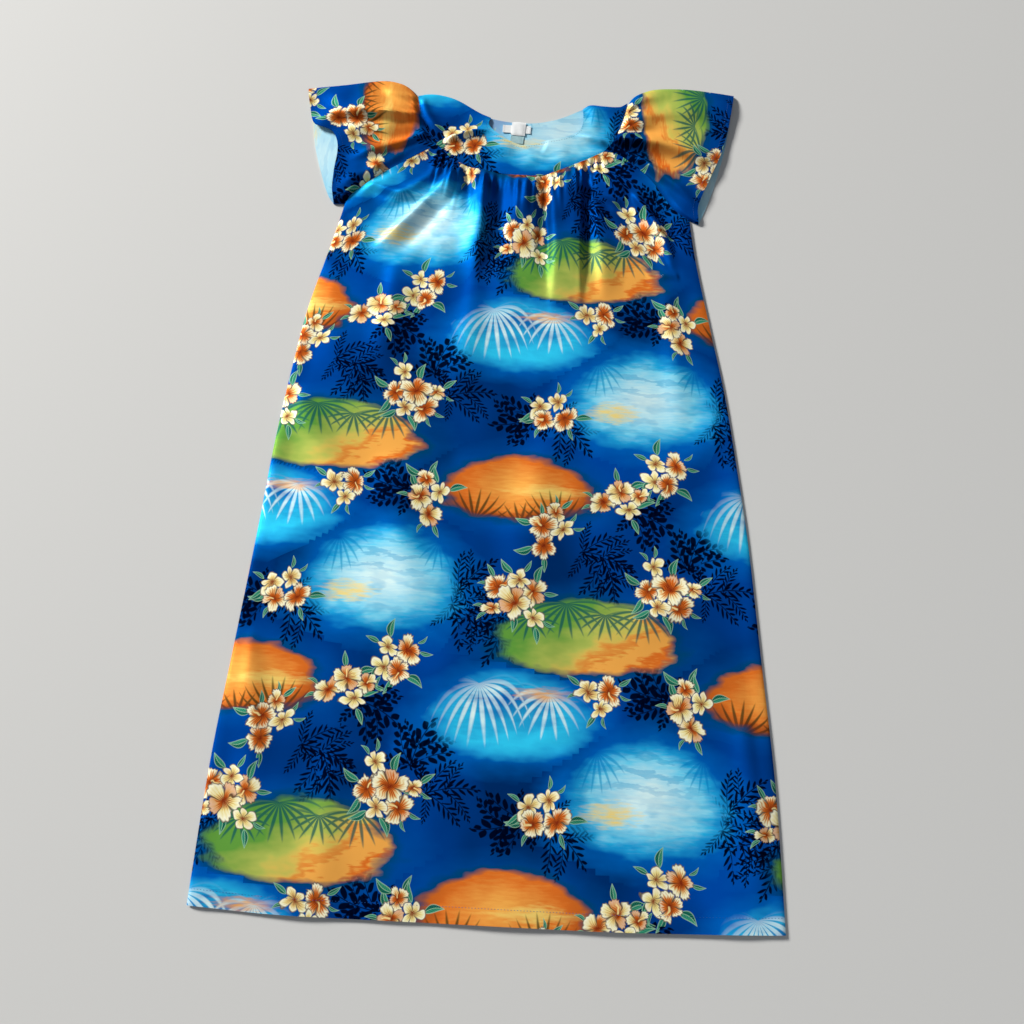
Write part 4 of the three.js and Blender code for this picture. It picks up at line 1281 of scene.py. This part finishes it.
LEFT_SLEEVE_FOLDS = (
    (-0.186, 0.606, -0.376, 0.604, -0.004, 0.0125, 0.01, 0.017, -0.5),
    (-0.2, 0.574, -0.33, 0.56, 0.004, -0.007, 0.012, 0.018),
    (-0.186, 0.628, -0.38, 0.65, 0.008, 0.0045, 0.009, 0.02, -0.3),
    (-0.176, 0.572, -0.322, 0.514, 0.004, 0.008, 0.007, 0.013, -0.3),
    (-0.25, 0.505, -0.322, 0.462, 0.003, 0.005, 0.008, 0.012),
    (-0.196, 0.648, -0.262, 0.668, 0.005, 0.0045, 0.006, 0.011),
    (-0.192, 0.618, -0.3, 0.628, -0.004, -0.003, 0.006, 0.012),
)
RIGHT_SLEEVE_FOLDS = (
    (0.156, 0.576, 0.346, 0.524, 0.011, 0.0125, 0.01, 0.016, 0.45),
    (0.176, 0.56, 0.318, 0.496, 0.008, -0.006, 0.01, 0.015),
    (0.18, 0.546, 0.306, 0.444, 0.004, 0.0098, 0.007, 0.01, 0.4),
    (0.16, 0.59, 0.235, 0.612, 0.006, 0.005, 0.006, 0.011, 0.3),
    (0.166, 0.612, 0.352, 0.64, 0.008, 0.0045, 0.008, 0.024, 0.3),
    (0.174, 0.64, 0.232, 0.668, 0.005, 0.0045, 0.006, 0.011),
    (0.17, 0.602, 0.26, 0.59, 0.004, -0.003, 0.007, 0.014),
)
SLEEVE_PUFF = 0.008
SLEEVE_WAVES = (0.032, 0.0028)
SLEEVE_ROLL = 0.026
SLEEVE_SAG = 0.25
SLEEVE_RINGS = 62
SLEEVE_ARM_STEPS = 46
FOLD_EDGE = 0.0012
SLEEVE_GATHERS = 9
SLEEVE_GATHER_HEIGHT = 0.0016
SLEEVE_GATHER_LENGTH = 0.060
SLEEVE_HEM = 0.009  # stitching, in from the sleeve's edge


def sleeve(name, shape, end, arm, side, folds):
    seam = joined(end, arm)
    steps = len(seam) - 1
    down = np.linspace(0, 1, steps + 1)[:, None]
    hem_share = 0.5 - 0.5 * np.cos(math.pi * down[:, 0])
    over = line(shape["over"])
    under = line(shape["under"])
    parted = apart(seam, side * 2 * SEAM_PARTING)
    parted[0] = over(0)
    station = np.arange(steps + 1)
    arm_share = np.maximum((station - END_STEPS) / SLEEVE_ARM_STEPS, 0)
    sewn = SEAM_PUFF * roll(1 - arm_share, ARMPIT_SHARE)
    wave = np.cos(TAU * SLEEVE_GATHERS * station / END_STEPS) * ease(1.15 - station / END_STEPS)
    outside = []
    for share in np.linspace(0, 1, SLEEVE_RINGS + 1) ** 1.15:
        over_bulge = over(share) - over(0) - share * (over(1) - over(0))
        under_bulge = under(share) - under(0) - share * (under(1) - under(0))
        bulge = over_bulge * (1 - down) ** 2 + under_bulge * down**2
        upper = mix(parted, line(shape["upper_hem"])(hem_share), share) + bulge
        lower = mix(parted, line(shape["lower_hem"])(hem_share), share) + bulge
        to_fold = np.minimum(np.hypot(*(upper - upper[0]).T), np.hypot(*(upper - upper[-1]).T))
        sag = SLEEVE_SAG * (1 - math.sin(math.pi * share))
        creases = fold_height(folds, upper[:, 0], upper[:, 1])
        creases = creases + waviness(upper[:, 0], upper[:, 1], *SLEEVE_WAVES)
        from_seam = np.hypot(*(upper - parted).T)
        small = SLEEVE_GATHER_HEIGHT * wave * ease(1 - from_seam / SLEEVE_GATHER_LENGTH)
        own = SLEEVE_PUFF * roll(to_fold, SLEEVE_ROLL) * (1 - sag)
        own = own + (creases + small) * ease(to_fold / SLEEVE_ROLL)
        lift = np.maximum(mix(sewn, own, ease(from_seam / SEAM_BLEND)), 0) * ease(to_fold / FOLD_EDGE)
        outside.append(np.concatenate([with_height(upper, TOP + lift), with_height(lower[::-1], 0.0)]))
    outside = np.array(outside)
    upper_layer = outside[:, :steps + 1]
    inside = outside.copy()
    inside[:, :steps + 1, 2] -= WALL
    inside[:, steps + 1:, 2] += WALL
    lower_half = (np.arange(outside.shape[1]) > steps)[None, :]
    across = np.where(lower_half, shape["lower_print"][0], shape["print"][0]) - outside[..., 1]
    up = np.where(lower_half, shape["lower_print"][1], shape["print"][1]) + outside[..., 0]
    if side < 0:
        outside, inside = outside[:, ::-1], inside[:, ::-1]
        across, up = across[:, ::-1], up[:, ::-1]
    return sew(name, outside, inside, across, up, tube=True), upper_layer


for hand, shape, end, armhole, side, folds in (
    ("left", LEFT_SLEEVE, left_end, LEFT_ARMHOLE, -1, LEFT_SLEEVE_FOLDS),
    ("right", RIGHT_SLEEVE, right_end[::-1], RIGHT_ARMHOLE, 1, RIGHT_SLEEVE_FOLDS),
):
    arm = stations(armhole, SLEEVE_ARM_STEPS)
    sleeve_cloth, sleeve_top = sleeve(f"sleeve_{hand}_cloth", shape, end, arm, side, folds)
    hem_row = inset(sleeve_top[::-1], SLEEVE_HEM)
    sleeve_stitches = stitches(f"sleeve_{hand}_stitches", [hem_row], BLUE_THREAD)
    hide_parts(f"sleeve_{hand}")
